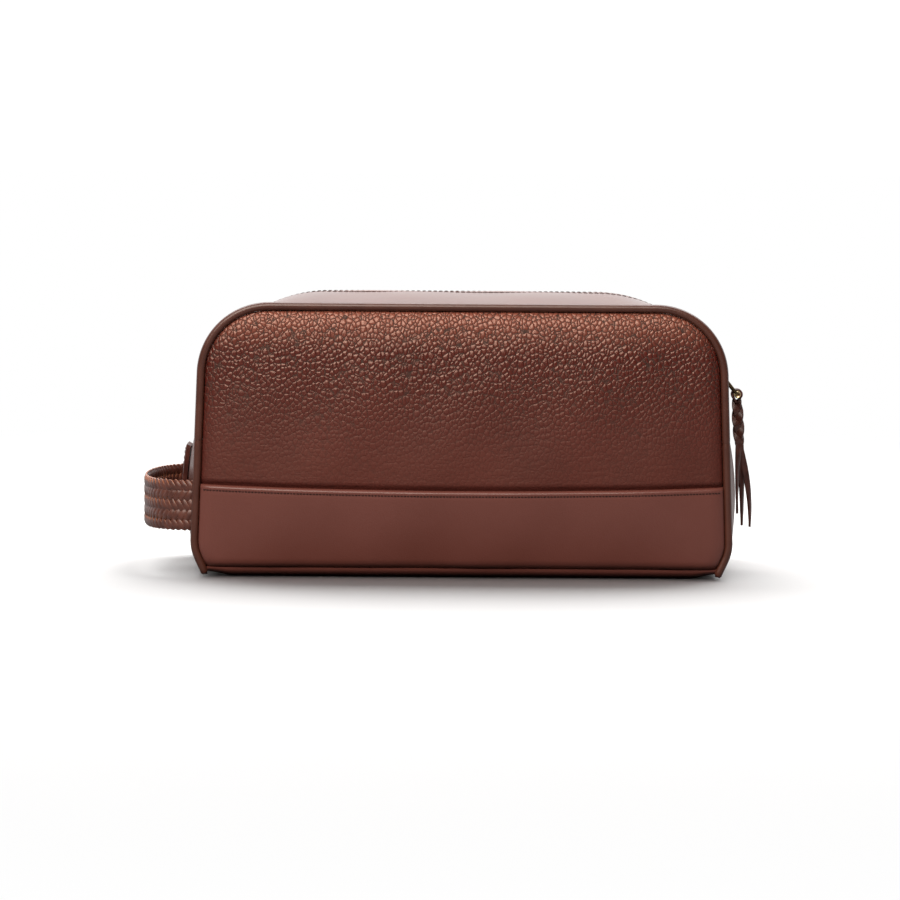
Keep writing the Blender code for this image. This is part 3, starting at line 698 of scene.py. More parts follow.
# the thongs' pale edges: partly raw cut leather, partly a painted highlight
paleEdgeAndHighlight = (0.27, 0.105, 0.055)
clothLooks = {
    "liningCloth": {"dark": (0.030, 0.020, 0.016), "light": (0.075, 0.055, 0.045), "pitch": 0.0006},
    "tapeCloth": {"dark": (0.016, 0.008, 0.006), "light": (0.050, 0.026, 0.018), "pitch": 0.0007},
}
brassLooks = {
    "brassAged": {"dark": (0.12, 0.085, 0.045), "light": (0.36, 0.26, 0.13), "roughness": 0.34},
    "brassDark": {"dark": (0.060, 0.042, 0.024), "light": (0.17, 0.12, 0.060), "roughness": 0.38},
    "brassPale": {"dark": (0.55, 0.42, 0.22), "light": (0.85, 0.70, 0.42), "roughness": 0.24},
}

grained = grainedLeather()
bandLeather, gussetLeather, pipingLeather, strapLeather, darkLeather, threadBrown, boardPlastic = (
    smoothLeather(name, **look) for name, look in leatherLooks.items()
)
lightenEdges(strapLeather, paleEdgeAndHighlight)
liningCloth, tapeCloth = (wovenCloth(name, **look) for name, look in clothLooks.items())
brassAged, brassDark, brassPale = (agedMetal(name, **look) for name, look in brassLooks.items())
print("materials made")


# repeated pieces along a path


def repeatTree():
    # places one piece again and again along a path, its top along the path's outward arrows
    tree = bpy.data.node_groups.new("repeatAlongPath", "GeometryNodeTree")
    sockets = (
        ("Path", "NodeSocketGeometry", None),
        ("Piece", "NodeSocketObject", None),
        ("Pitch", "NodeSocketFloat", 0.002),
        ("Finish", "NodeSocketMaterial", None),
    )
    for label, kind, value in sockets:
        made = tree.interface.new_socket(label, in_out="INPUT", socket_type=kind)
        if value is not None:
            made.default_value = value
    tree.interface.new_socket("Result", in_out="OUTPUT", socket_type="NodeSocketGeometry")
    given = tree.nodes.new("NodeGroupInput")
    result = tree.nodes.new("NodeGroupOutput")
    curve = tree.nodes.new("GeometryNodeMeshToCurve")
    spaced = nodeOf(tree, "GeometryNodeResampleCurve", mode="LENGTH")
    outward = nodeOf(tree, "GeometryNodeInputNamedAttribute", data_type="FLOAT_VECTOR")
    outward.inputs["Name"].default_value = "outward"
    tangent = tree.nodes.new("GeometryNodeInputTangent")
    stand = nodeOf(tree, "FunctionNodeAlignRotationToVector", axis="Z")
    turn = nodeOf(tree, "FunctionNodeAlignRotationToVector", axis="X", pivot_axis="Z")
    info = nodeOf(tree, "GeometryNodeObjectInfo", transform_space="ORIGINAL")
    placed = tree.nodes.new("GeometryNodeInstanceOnPoints")
    real = tree.nodes.new("GeometryNodeRealizeInstances")
    dressed = tree.nodes.new("GeometryNodeSetMaterial")
    joins = (
        (given.outputs["Path"], curve.inputs["Mesh"]),
        (curve.outputs["Curve"], spaced.inputs["Curve"]),
        (given.outputs["Pitch"], spaced.inputs["Length"]),
        (outward.outputs["Attribute"], stand.inputs["Vector"]),
        (stand.outputs["Rotation"], turn.inputs["Rotation"]),
        (tangent.outputs["Tangent"], turn.inputs["Vector"]),
        (given.outputs["Piece"], info.inputs["Object"]),
        (spaced.outputs["Curve"], placed.inputs["Points"]),
        (info.outputs["Geometry"], placed.inputs["Instance"]),
        (turn.outputs["Rotation"], placed.inputs["Rotation"]),
        (placed.outputs["Instances"], real.inputs["Geometry"]),
        (real.outputs["Geometry"], dressed.inputs["Geometry"]),
        (given.outputs["Finish"], dressed.inputs["Material"]),
        (dressed.outputs["Geometry"], result.inputs["Result"]),
    )
    for start, end in joins:
        tree.links.new(start, end)
    return tree


repeatAlongPath = repeatTree()


def rowAlong(name, points, outward, template, pitch, material):
    mesh = bpy.data.meshes.new(name)
    mesh.from_pydata(points.tolist(), [(k, k + 1) for k in range(len(points) - 1)], [])
    arrows = mesh.attributes.new("outward", "FLOAT_VECTOR", "POINT")
    arrows.data.foreach_set("vector", unit(outward).astype(np.float32).ravel())
    piece = newObject(name, mesh)
    row = piece.modifiers.new("row", "NODES")
    row.node_group = repeatAlongPath
    sockets = [item for item in repeatAlongPath.interface.items_tree if item.in_out == "INPUT"]
    names = {socket.name: socket.identifier for socket in sockets}
    row[names["Piece"]] = template
    row[names["Pitch"]] = pitch
    row[names["Finish"]] = material
    piece.update_tag()
    bpy.context.view_layer.update()
    asPlainMesh(piece)
    if "outward" in piece.data.attributes:
        piece.data.attributes.remove(piece.data.attributes["outward"])
    piece.data.shade_smooth()
    piece.data.set_sharp_from_angle(angle=math.radians(50))
    return piece


def stitchTemplate(length, radius):
    # one sewn stitch: a short thread that dips into the leather at both ends
    places = np.linspace(-0.5, 0.5, 7)
    rise = radius * 1.1 - (2 * np.abs(places)) ** 4 * radius * 2.0
    path = np.stack([places * length, np.zeros(7), rise], axis=1)
    ways = unit(np.gradient(path, axis=0))
    side = np.array([0.0, 1.0, 0.0])
    up = np.cross(ways, side)
    angles = np.linspace(0, 2 * math.pi, 6, endpoint=False)
    ring = np.cos(angles)[None, :, None] * side + np.sin(angles)[None, :, None] * up[:, None]
    rings = path[:, None] + radius * ring
    return gridObject("stitch", rings, None, threadBrown, loop=True, closedEnds=True)


toothSizes = {"pitch": 0.0026, "length": 0.00125, "reach": 0.0034, "height": 0.0019, "overlap": 0.0007}


def toothTemplate(side):
    # one brass tooth, gripping the tape at one end with a rounded nose at the other
    sizes = toothSizes
    shape = bmesh.new()
    half = sizes["length"] / 2
    outline = [
        (-half * 0.8, 1.0),
        (-half, 0.55),
        (-half * 0.55, 0.32),
        (-half * 0.9, 0.12),
        (-half * 0.5, 0.0),
        (half * 0.5, 0.0),
        (half * 0.9, 0.12),
        (half * 0.55, 0.32),
        (half, 0.55),
        (half * 0.8, 1.0),
    ]
    start = -sizes["overlap"]
    points = [(x, side * (start + share * sizes["reach"]), -sizes["height"] / 2) for x, share in outline]
    face = shape.faces.new([shape.verts.new(point) for point in points])
    made = bmesh.ops.extrude_face_region(shape, geom=[face])["geom"]
    top = [part for part in made if isinstance(part, bmesh.types.BMVert)]
    bmesh.ops.translate(shape, vec=(0, 0, sizes["height"]), verts=top)
    bmesh.ops.recalc_face_normals(shape, faces=shape.faces)
    mesh = bpy.data.meshes.new("tooth")
    shape.to_mesh(mesh)
    shape.free()
    return newObject("tooth", mesh)


stitch = stitchTemplate(0.00105, 0.00028)
longStitch = stitchTemplate(0.0022, 0.00022)


# front and back panels

panelSizes = {
    "inset": 0.0021,
    "edgeSink": 0.0015,
    "edgeRoll": 0.0026,
    "rollWidth": 0.0075,
    "crown": 0.0067,
    "thickness": 0.0016,
    "bandTop": 0.0463,
    "bandDip": 0.0022,
    "bandStep": 0.0022,
    "bandLow": 0.0050,
    "seam": 0.0026,
    "foldShadow": 0.0016,
    "foldShadowFrom": 0.0024,
    "foldShadowOver": 0.0022,
    "foldRadius": 0.0019,
    "footDrop": 0.0034,
    "footRadius": 0.0042,
    "dent": 0.00018,
    "dentWidth": 0.0007,
    "bandThickness": 0.0014,
    "tuck": 0.008,
    "waveFade": 0.02,
    "slowWave": 0.00028,
    "quickWave": 0.00022,
    "rowStep": 0.0011,
    "bandHalf": 0.13,
    "stitchHalf": 0.1275,
    "stitchPitch": 0.0016,
    "stitchSink": 0.00020,
}


def seamDistance(x, z):
    # how far points of a panel lie inside the seam line
    flat = np.stack([x.ravel(), z.ravel()], axis=1)
    nearest = np.empty(len(flat))
    blockSize = 4000  # keeps the table of distances small
    for first in range(0, len(flat), blockSize):
        block = flat[first : first + blockSize]
        distances = np.sqrt(((block[:, None] - seamLine[None]) ** 2).sum(axis=2))
        nearest[first : first + blockSize] = distances.min(axis=1)
    return nearest.reshape(x.shape)


def panelDepth(x, z, wave):
    # how far a panel's face stands out of the seam plane
    sizes = panelSizes
    middle = (bagShape["seamHeight"] + sizes["bandLow"]) / 2
    reach = (bagShape["seamHeight"] - sizes["bandLow"]) / 2
    up = np.clip(np.abs(z - middle) / reach, 0, 1)
    aside = np.clip(np.abs(x) / bagShape["hipHalf"], 0, 1)
    crown = sizes["crown"] * (1 - aside**3.2) * (1 - up**2.7)
    edge = seamDistance(x, z) - sizes["inset"]
    roll = sizes["edgeRoll"] * rounded(edge, sizes["rollWidth"])
    soft = smooth(edge / sizes["waveFade"])
    waves = sizes["slowWave"] * np.sin(x * 61 + z * 35 + wave)
    waves = waves + sizes["quickWave"] * np.sin(x * 113 - z * 71 + 2 * wave)
    return crown + roll - sizes["edgeSink"] + waves * soft


def panelRows(low, high, inset, step):
    radius = bagShape["shoulderRadius"] - inset
    straight = np.arange(low, min(high, shoulderZ), step)
    places, facing = seamAt(placeAt(straight, 1))
    rows = [(z, point[0] - inset / normal[0]) for z, point, normal in zip(straight, places, facing)]
    if high > shoulderZ:
        for angle in np.linspace(0, math.pi / 2, int(radius * 1.57 / step) + 1):
            rows.append((shoulderZ + radius * math.sin(angle), shoulderX + radius * math.cos(angle)))
    return np.array(rows)


def makePanel(name, side, wave):
    sizes = panelSizes
    low = sizes["bandTop"] - sizes["tuck"]
    rows = panelRows(low, bagShape["seamHeight"], sizes["inset"], sizes["rowStep"])
    shares = np.sin(np.linspace(-1, 1, 170) * math.pi / 2)
    x = rows[:, 1:] * shares
    z = np.broadcast_to(rows[:, :1], x.shape)
    above = z - bandEdge(x)
    shadow = smooth((sizes["foldShadowFrom"] - above) / sizes["foldShadowOver"])
    depth = panelDepth(x, z, wave) - sizes["foldShadow"] * shadow
    grid = np.stack([x, side * (bagShape["seamDepth"] / 2 + depth), z], axis=-1)
    return gridObject(name, grid, lambda p: np.array([0, side, 0]), grained, sizes["thickness"])


rightHalf = seamLine[:, 0] > 0
seamHeights, seamWidths = seamLine[rightHalf][::-1, 1], seamLine[rightHalf][::-1, 0]


def bandEdge(x):
    sizes = panelSizes
    return sizes["bandTop"] - sizes["bandDip"] * (1 - np.clip(np.abs(x) / sizes["bandHalf"], 0, 1) ** 2)


def makeBand(name, side, wave):
    sizes = panelSizes
    rows = panelRows(sizes["bandLow"], sizes["bandTop"] - 0.0022, sizes["inset"], sizes["rowStep"])
    # rows crowd together near the fold and the foot, so that both come out round
    near = np.array([0.0020, 0.0016, 0.0012, 0.0009, 0.0006, 0.0004, 0.0002, 0.0001, 0.0])
    fine = np.interp(sizes["bandTop"] - near, seamHeights, seamWidths) - sizes["inset"]
    rows = np.vstack([rows, np.stack([sizes["bandTop"] - near, fine], axis=1)])
    foot = np.interp(sizes["bandLow"] + near[-2::-1], seamHeights, seamWidths) - sizes["inset"]
    rows = np.vstack([rows[:1], np.stack([sizes["bandLow"] + near[-2::-1], foot], axis=1), rows[2:]])
    shares = np.sin(np.linspace(-1, 1, 150) * math.pi / 2)
    x = rows[:, 1:] * shares
    run = ((rows[:, :1] - sizes["bandLow"]) / (sizes["bandTop"] - sizes["bandLow"])).clip(0, 1)
    z = sizes["bandLow"] + run * (bandEdge(x) - sizes["bandLow"])
    top = bandEdge(x) - z
    bottom = z - sizes["bandLow"]
    depth = panelDepth(x, z, wave) + sizes["bandStep"] * rounded(top, sizes["foldRadius"])
    depth = depth - sizes["footDrop"] * (1 - rounded(bottom, sizes["footRadius"]))
    dent = sizes["dent"] * np.exp(-(((top - sizes["seam"]) / sizes["dentWidth"]) ** 2))
    grid = np.stack([x, side * (bagShape["seamDepth"] / 2 + depth - dent), z], axis=-1)
    return gridObject(name, grid, lambda p: np.array([0, side, 0]), bandLeather, sizes["bandThickness"])


def bandStitches(name, side, wave):
    sizes = panelSizes
    x = np.linspace(-sizes["stitchHalf"], sizes["stitchHalf"], 300)
    z = bandEdge(x) - sizes["seam"]
    depth = panelDepth(x, z, wave) + sizes["bandStep"] - sizes["stitchSink"]
    points = np.stack([x, side * (bagShape["seamDepth"] / 2 + depth), z], axis=1)
    outward = np.tile([0.0, side, 0.0], (len(x), 1))
    return rowAlong(name, points, outward, stitch, sizes["stitchPitch"], threadBrown)


backSlump = {"drop": 0.0075, "from": 0.050, "over": 0.060, "low": 0.075, "rise": 0.050, "middle": 0.0015}


def slump(mesh):
    # the upper back corners of the bag sink under their own weight
    points = np.empty(len(mesh.vertices) * 3, np.float32)
    mesh.vertices.foreach_get("co", points)
    points = points.reshape(-1, 3)
    back = smooth(points[:, 1] / (bagShape["seamDepth"] / 2))
    corner = smooth((np.abs(points[:, 0]) - backSlump["from"]) / backSlump["over"])
    high = smooth((points[:, 2] - backSlump["low"]) / backSlump["rise"])
    points[:, 2] -= back * high * (backSlump["middle"] + (backSlump["drop"] - backSlump["middle"]) * corner)
    mesh.vertices.foreach_set("co", points.ravel())
    mesh.update()


def bendsWithBack(piece):
    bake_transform(piece)


def finishPiece(piece, body="bag", nodes=(), bends=False):
    if body == "bag":
        slump(piece.data)
    if bends:
        bendsWithBack(piece)
    else:
        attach(piece, body)
    if nodes:
        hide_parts(*nodes)
    return piece


frontWave, backWave = 0.4, 1.9  # where the slow waves of each face start
finishPiece(makePanel("frontPanel", -1, frontWave), nodes=["front_panel"])
finishPiece(makeBand("frontBand", -1, frontWave), nodes=["front_band"])
finishPiece(bandStitches("frontBandStitches", -1, frontWave))
finishPiece(
    makePanel("backPanel", 1, backWave),
    nodes=["back_panel_upper", "back_panel_lower"],
    bends=True,
)
finishPiece(makeBand("backBand", 1, backWave), nodes=["back_band"])
finishPiece(bandStitches("backBandStitches", 1, backWave))
print("panels made")


# piping

pipingSizes = {
    "radius": 0.0020,
    "joint": 0.068,
    "jointGap": 0.0001,
    "tuck": 0.0035,
    "hookIn": 0.0012,
    "ringStep": 0.0016,
    "tipShare": 0.35,
}


def pipingTube(name, side, start, end, radius, tucked=()):
    places = np.linspace(start, end, max(8, int((end - start) / pipingSizes["ringStep"])))
    flat, _ = seamAt(places)
    y = np.full(len(places), side * bagShape["seamDepth"] / 2)
    path = np.stack([flat[:, 0], y, flat[:, 1]], axis=1)
    for end in tucked:
        # the end turns in under the bag
        corner = path[0] if end < 0 else path[-1]
        inward = np.array([-math.copysign(1, corner[0]), 0, 0])
        steps = np.linspace(0.15, 1, 7)[:, None]
        drop = np.array([0, 0, pipingSizes["radius"] * 0.4 - corner[2]])
        behind = np.array([0, -side, 0]) * pipingSizes["tuck"]
        hook = corner + (inward * pipingSizes["hookIn"] + drop * 0.9) * np.sqrt(steps) + behind * steps**1.5
        path = np.vstack([hook[::-1], path]) if end < 0 else np.vstack([path, hook])
    ways = unit(np.gradient(path, axis=0))
    sideWay = np.tile([0.0, 1.0, 0.0], (len(path), 1))
    up = np.cross(ways, sideWay)
    angles = np.linspace(0, 2 * math.pi, 16, endpoint=False)
    taper = np.full(len(path), radius)
    taper[0] = taper[-1] = radius * 0.93
    if tucked:
        thin = np.linspace(pipingSizes["tipShare"], 1.0, 8) * radius
        taper[:8], taper[-8:] = (thin, taper[-8:]) if tucked[0] < 0 else (taper[:8], thin[::-1])
    circle = np.cos(angles)[None, :, None] * sideWay[:, None] + np.sin(angles)[None, :, None] * up[:, None]
    rings = path[:, None] + taper[:, None, None] * circle
    return gridObject(name, rings, None, pipingLeather, loop=True, closedEnds=True)


def makePiping(name, side):
    left = float(placeAt(pipingSizes["joint"], -1))
    right = float(placeAt(pipingSizes["joint"], 1))
    radius, gap = pipingSizes["radius"], pipingSizes["jointGap"]
    pieces = [
        pipingTube("pipingLeft", side, 0.0, left, radius, tucked=(-1,)),
        pipingTube("pipingTop", side, left + gap, right - gap, radius),
        pipingTube("pipingRight", side, right, seamLength, radius, tucked=(1,)),
    ]
    return joinPieces(name, pieces)


finishPiece(makePiping("frontPiping", -1), nodes=["front_piping"])
finishPiece(
    makePiping("backPiping", 1),
    nodes=["back_piping_left", "back_piping_upper", "back_piping_right"],
    bends=True,
)
print("piping made")


# gussets

gussetSizes = {
    "belly": 0.0016,
    "offset": 0.0007,
    "thickness": 0.0014,
    "edge": 0.0489,
    "edgeRoll": 0.005,
    "zipEdge": 0.0058,
    "zipEdgeSink": 0.0010,
    "zipEdgeRoll": 0.0014,
    "sink": 0.0016,
    "lap": 0.005,
    "lapSink": 0.0012,
    "lapFade": 0.004,
    "dent": 0.00030,
    "dentWidth": 0.0006,
    "sewing": 0.0022,
    "sewingSink": 0.00022,
    "sewingPitch": 0.0028,
    "overlap": 0.0006,
    "endLift": 0.0003,
    "wave": 0.0002,
}


def makeLowerGusset(name, side, sideY):
    # half of an end, between the seam and the middle
    sizes = gussetSizes
    top = crossLeft + sizes["lap"]
    places = np.linspace(0.0, top, 70)[:, None]
    y = sideY * (np.sin(np.linspace(0, 1, 48) * math.pi / 2) * sizes["edge"])[None, :]
    edge = sizes["edge"] - np.abs(y)
    offset = sizes["offset"] - sizes["sink"] * (1 - rounded(edge, sizes["edgeRoll"]))
    offset = offset - sizes["lapSink"] * smooth((places - crossLeft + sizes["lapFade"]) / sizes["lapFade"])
    share = np.clip(places / crossLeft, 0, 1)
    offset = offset + sizes["belly"] * 4 * share * (1 - share) * (1 - (2 * y / bagShape["seamDepth"]) ** 2)
    places = places if side < 0 else seamLength - places
    return gridObject(name, gussetPoint(places, y, offset), fromMiddle, gussetLeather, sizes["thickness"])


def makeZipGusset(name, side):
    sizes = gussetSizes
    count = 330
    places = np.linspace(crossLeft - sizes["overlap"], crossRight + sizes["overlap"], count)[:, None]
    share = np.linspace(0, 1, 46)
    share = (share + np.sin(share * math.pi / 2) ** 2) / 2
    y = side * (sizes["zipEdge"] + share * (sizes["edge"] - sizes["zipEdge"]))[None, :]
    edge = sizes["edge"] - np.abs(y)
    zipSide = np.abs(y) - sizes["zipEdge"]
    offset = sizes["offset"] - sizes["sink"] * (1 - rounded(edge, sizes["edgeRoll"]))
    offset = offset - sizes["zipEdgeSink"] * (1 - rounded(zipSide + 0.0001, sizes["zipEdgeRoll"]))
    offset = offset - sizes["dent"] * np.exp(-(((zipSide - sizes["sewing"]) / sizes["dentWidth"]) ** 2))
    ends = np.minimum(places - crossLeft, crossRight - places)
    offset = offset + sizes["endLift"] * (1 - smooth((ends - 0.003) / 0.008))
    offset = offset + sizes["wave"] * np.sin(places * 95 + side) * smooth(edge / 0.02)
    return gridObject(name, gussetPoint(places, y, offset), fromMiddle, gussetLeather, sizes["thickness"])


def pathOnGusset(places, y, offset):
    points = gussetPoint(places, y, offset)
    higher = gussetPoint(places, y, offset + 0.001)
    return points, higher - points


def zipStitches(name, side):
    sizes = gussetSizes
    places = np.linspace(crossLeft + 0.002, crossRight - 0.002, 420)
    y = side * (sizes["zipEdge"] + sizes["sewing"])
    points, outward = pathOnGusset(places, y, sizes["offset"] - sizes["sewingSink"])
    return rowAlong(name, points, outward, longStitch, sizes["sewingPitch"], threadBrown)


for sideName, side in (("left", -1), ("right", 1)):
    front = makeLowerGusset(f"{sideName}GussetFront", side, -1)
    finishPiece(front, nodes=[f"{sideName}_gusset"])
    finishPiece(makeLowerGusset(f"{sideName}GussetBack", side, 1), bends=True)
for sideName, side in (("front", -1), ("back", 1)):
    gusset = makeZipGusset(f"{sideName}ZipGusset", side)
    sewing = zipStitches(f"{sideName}ZipStitches", side)
    finishPiece(gusset, nodes=[f"zip_gusset_{sideName}"], bends=side > 0)
    finishPiece(sewing, bends=side > 0)
print("gussets made")


# base

baseSizes = {
    "halfLength": 0.1266,
    "pastSeam": 0.0010,
    "lip": 0.0047,
    "curve": 0.0078,
    "endRise": 0.0020,
    "riseFrom": 0.114,
    "bulge": 0.0005,
    "thickness": 0.0020,
}


def makeBase():
    sizes = baseSizes
    halfDepth = bagShape["seamDepth"] / 2 + sizes["pastSeam"]
    flat = halfDepth - sizes["curve"]
    angles = np.linspace(0, math.pi / 2, 10)
    lipY = flat + sizes["curve"] * np.sin(angles)
    lipZ = sizes["lip"] * (1 - np.cos(angles))
    y = np.concatenate([-lipY[::-1], np.linspace(-flat, flat, 24)[1:-1], lipY])
    z = np.concatenate([lipZ[::-1], np.zeros(22), lipZ])
    x = np.sin(np.linspace(-1, 1, 90) * math.pi / 2)[:, None] * sizes["halfLength"]
    nearEnd = (np.abs(x) - sizes["riseFrom"]) / (sizes["halfLength"] - sizes["riseFrom"])
    rise = sizes["endRise"] * smooth(nearEnd) * (1 - z / sizes["lip"])
    bulge = sizes["bulge"] * np.cos(x / sizes["halfLength"] * math.pi / 2) * np.sign(y) * (z / sizes["lip"])
    grid = np.stack([np.broadcast_to(x, rise.shape), y + bulge, z + rise], axis=-1)
    return gridObject("basePanel", grid, lambda p: np.array([0, 0, -1.0]), bandLeather, sizes["thickness"])


finishPiece(makeBase(), nodes=["base_panel"])
print("base made")


# lining

liningSizes = {"thickness": 0.0005, "behindPanel": 0.0034, "behindGusset": 0.0026, "floor": 0.0050}


def makePanelLining(name, side, wave):
    rows = panelRows(liningSizes["floor"] + 0.001, bagShape["seamHeight"], 0.0012, 0.004)
    shares = np.sin(np.linspace(-1, 1, 60) * math.pi / 2)
    x = rows[:, 1:] * shares
    z = np.broadcast_to(rows[:, :1], x.shape)
    depth = panelDepth(x, z, wave) - liningSizes["behindPanel"]
    depth = depth - 0.0008 * np.abs(np.sin(x * 190 + np.sin(z * 60) * 2)) * smooth((z - 0.02) / 0.03)
    grid = np.stack([x, side * (bagShape["seamDepth"] / 2 + depth), z], axis=-1)
    return gridObject(name, grid, lambda p: np.array([0, side, 0]), liningCloth, liningSizes["thickness"])


def makeGussetLining(name, sideY):
    floorPlace = float(placeAt(liningSizes["floor"] + 0.001, -1))
    places = np.linspace(floorPlace, seamLength - floorPlace, 240)[:, None]
    zipGap = np.where((places > crossLeft) & (places < crossRight), 0.0098, 0.0)
    share = np.linspace(0, 1, 16)[None, :]
    y = sideY * (zipGap + share * (0.0480 - zipGap))
    offset = gussetSizes["offset"] - liningSizes["behindGusset"] + 0.0 * y
    return gridObject(name, gussetPoint(places, y, offset), fromMiddle, liningCloth, liningSizes["thickness"])


def makeFloorLining():
    x = np.linspace(-0.117, 0.117, 40)[:, None]
    y = np.linspace(-0.0465, 0.0465, 20)[None, :]
    z = liningSizes["floor"] + 0.0003 * np.sin(x * 60 + y * 40)
    grid = np.stack(np.broadcast_arrays(x, y, z), axis=-1)
    up = np.array([0, 0, 1.0])
    return gridObject("floorLining", grid, lambda p: up, liningCloth, liningSizes["thickness"])


finishPiece(makePanelLining("frontLining", -1, frontWave), nodes=["lining_front"])
finishPiece(
    makePanelLining("backLining", 1, backWave),
    nodes=["lining_back_upper", "lining_back_lower"],
    bends=True,
)
finishPiece(
    makeGussetLining("gussetLiningFront", -1),
    nodes=["lining_left", "lining_right", "lining_zip_front"],
)
finishPiece(makeGussetLining("gussetLiningBack", 1), nodes=["lining_zip_back"], bends=True)
finishPiece(makeFloorLining(), nodes=["lining_base"])
print("lining made")


# zip

zipSizes = {
    "tapeDepth": 0.0022,
    "tapeOuter": 0.0095,
    "tapeThickness": 0.0007,
    "sliderAngle": math.radians(25),
}
sliderPlace = seamLength / 2 + (
    crestCentreX + bagShape["crestRadius"] * (math.pi / 2 - zipSizes["sliderAngle"])
) / crestScale


def makeTape(name, side):
    places = np.linspace(crossLeft - 0.003, crossRight + 0.003, 300)[:, None]
    y = side * np.linspace(0.0004, zipSizes["tapeOuter"], 10)[None, :]
    inner = (places > crossLeft) & (places < crossRight)
    offset = np.where(inner, -zipSizes["tapeDepth"], -zipSizes["tapeDepth"] - 0.0004) + 0.0 * y
    return gridObject(name, gussetPoint(places, y, offset), fromMiddle, tapeCloth, zipSizes["tapeThickness"])


def makeTeeth(name, side):
    pitch = toothSizes["pitch"]
    start = crossLeft + 0.0042 + (pitch / 2 if side > 0 else 0.0)
    last = sliderPlace + 0.003 if side < 0 else sliderPlace - 0.0045
    places = np.arange(start, last, pitch)
    points, outward = pathOnGusset(places, 0.0, -zipSizes["tapeDepth"] + 0.0003)
    template = toothTemplate(side)
    row = rowAlong(name, points, outward, template, pitch * 0.999, brassAged)
    bpy.data.objects.remove(template, do_unlink=True)
    return row


for sideName, side in (("front", -1), ("back", 1)):
    tape = makeTape(f"{sideName}ZipTape", side)
    teeth = makeTeeth(f"{sideName}ZipTeeth", side)
    finishPiece(tape, nodes=[f"zip_tape_{sideName}"], bends=side > 0)
    finishPiece(teeth, nodes=[f"zip_teeth_{sideName}"], bends=side > 0)

sliderFacing = np.array([math.cos(zipSizes["sliderAngle"]), 0, math.sin(zipSizes["sliderAngle"])])
sliderAlong = np.array([-sliderFacing[2], 0, sliderFacing[0]])
sliderOrigin = np.array([crestCentreX, 0, crestCentreZ]) + sliderFacing * bagShape["crestRadius"]


def sliderPoint(along, y, out):
    return sliderOrigin + sliderAlong * along + np.array([0, y, 0]) + sliderFacing * out


def prismAcross(name, outline, material, bevel):
    # an outline of points and the same outline moved, joined into a solid with rounded edges
    shape = bmesh.new()
    low, high = outline
    face = shape.faces.new([shape.verts.new(point) for point in low])
    made = bmesh.ops.extrude_face_region(shape, geom=[face])["geom"]
    top = [part for part in made if isinstance(part, bmesh.types.BMVert)]
    bmesh.ops.translate(shape, vec=Vector(np.array(high[0]) - np.array(low[0])), verts=top)
    bmesh.ops.recalc_face_normals(shape, faces=shape.faces)
    edges = list(shape.edges)
    bmesh.ops.bevel(shape, geom=edges, offset=bevel, segments=2, affect="EDGES", clamp_overlap=True)
    mesh = bpy.data.meshes.new(name)
    shape.to_mesh(mesh)
    shape.free()
    mesh.materials.append(material)
    mesh.shade_smooth()
    mesh.set_sharp_from_angle(angle=math.radians(35))
    return newObject(name, mesh)


def plate(name, outline, reach, bevel):
    low, high = ([sliderPoint(along, y, out) for along, y in outline] for out in reach)
    return prismAcross(name, (low, high), brassAged, bevel)


sliderSizes = {
    # half the plates' outline, as places along the zip and distances from its middle
    "side": ((-0.0049, 0.0030), (-0.0042, 0.0048), (-0.0010, 0.0048), (0.0044, 0.0034), (0.0049, 0.0026)),
    "topPlate": (-0.0006, 0.0004),
    "underPlate": (-0.0048, -0.0038),
    "plateBevel": 0.0003,
    "post": ((-0.0047, -0.0004), (-0.0047, 0.0004), (-0.0026, 0.0004), (-0.0026, -0.0004)),
    "postReach": (-0.004, 0.0),
    "postBevel": 0.0001,
    "arch": ((-0.0030, 0.0), (-0.0027, 0.0022), (0.0, 0.0030), (0.0027, 0.0022), (0.0030, 0.0)),
    "archWidth": 0.0026,
    "archThickness": 0.0009,
}


def makeSlider():
    sizes = sliderSizes
    shield = [(along, -y) for along, y in sizes["side"]] + list(sizes["side"][::-1])
    top = plate("top", shield, sizes["topPlate"], sizes["plateBevel"])
    under = plate("under", shield, sizes["underPlate"], sizes["plateBevel"])
    post = plate("post", sizes["post"], sizes["postReach"], sizes["postBevel"])
    arch = smoothPath([(along, 0, out) for along, out in sizes["arch"]], 28)
    path = np.array([sliderPoint(along, y, out) for along, y, out in arch])
    widthWay = np.tile([0.0, 1.0, 0.0], (len(path), 1))
    rings = ribbonGrid(path, widthWay, sizes["archWidth"], sizes["archThickness"])
    bridge = gridObject("bridge", rings, None, brassAged, loop=True, closedEnds=True)
    return joinPieces("zipSlider", [top, under, post, bridge])


finishPiece(makeSlider(), body="slider", nodes=["slider"])
print("zip made")


# pull and its thong

pullSizes = {
    "pivot": (0.12946, 0.0, 0.10246),
    "bar": (0.1400, 0.0, 0.0892),
    "linkWidth": 0.0074,
    "wire": 0.0009,
    "barrel": 0.0015,
    "thongWidth": 0.0036,
    "thongThickness": 0.0012,
    "braidTop": (0.1401, 0.0, 0.0864),
    "braidBottom": (0.1416, 0.0, 0.0640),
    "crossings": 1.9,
    "linkTurn": 0.0022,
    "linkSquash": 0.4,
    "barrelBore": 0.0007,
    "barrelHalf": 0.0043,
    "loopWidth": 0.0050,
    "tailEnds": ((0.1406, -0.0055, 0.0286), (0.1436, 0.0018, 0.0218), (0.1474, -0.0010, 0.0214)),
}


def tubeAround(path, radius, sides=12, closed=False):
    ways = unit(np.gradient(path, axis=0))
    if closed:
        ways = unit(np.roll(path, -1, axis=0) - np.roll(path, 1, axis=0))
    reference = np.tile(unit(np.cross(ways[0], ways[len(ways) // 4]) + 1e-6), (len(path), 1))
    first = unit(np.cross(ways, reference))
    second = np.cross(ways, first)
    angles = np.linspace(0, 2 * math.pi, sides, endpoint=False)
    return path[:, None] + radius * (
        np.cos(angles)[None, :, None] * first[:, None] + np.sin(angles)[None, :, None] * second[:, None]
    )


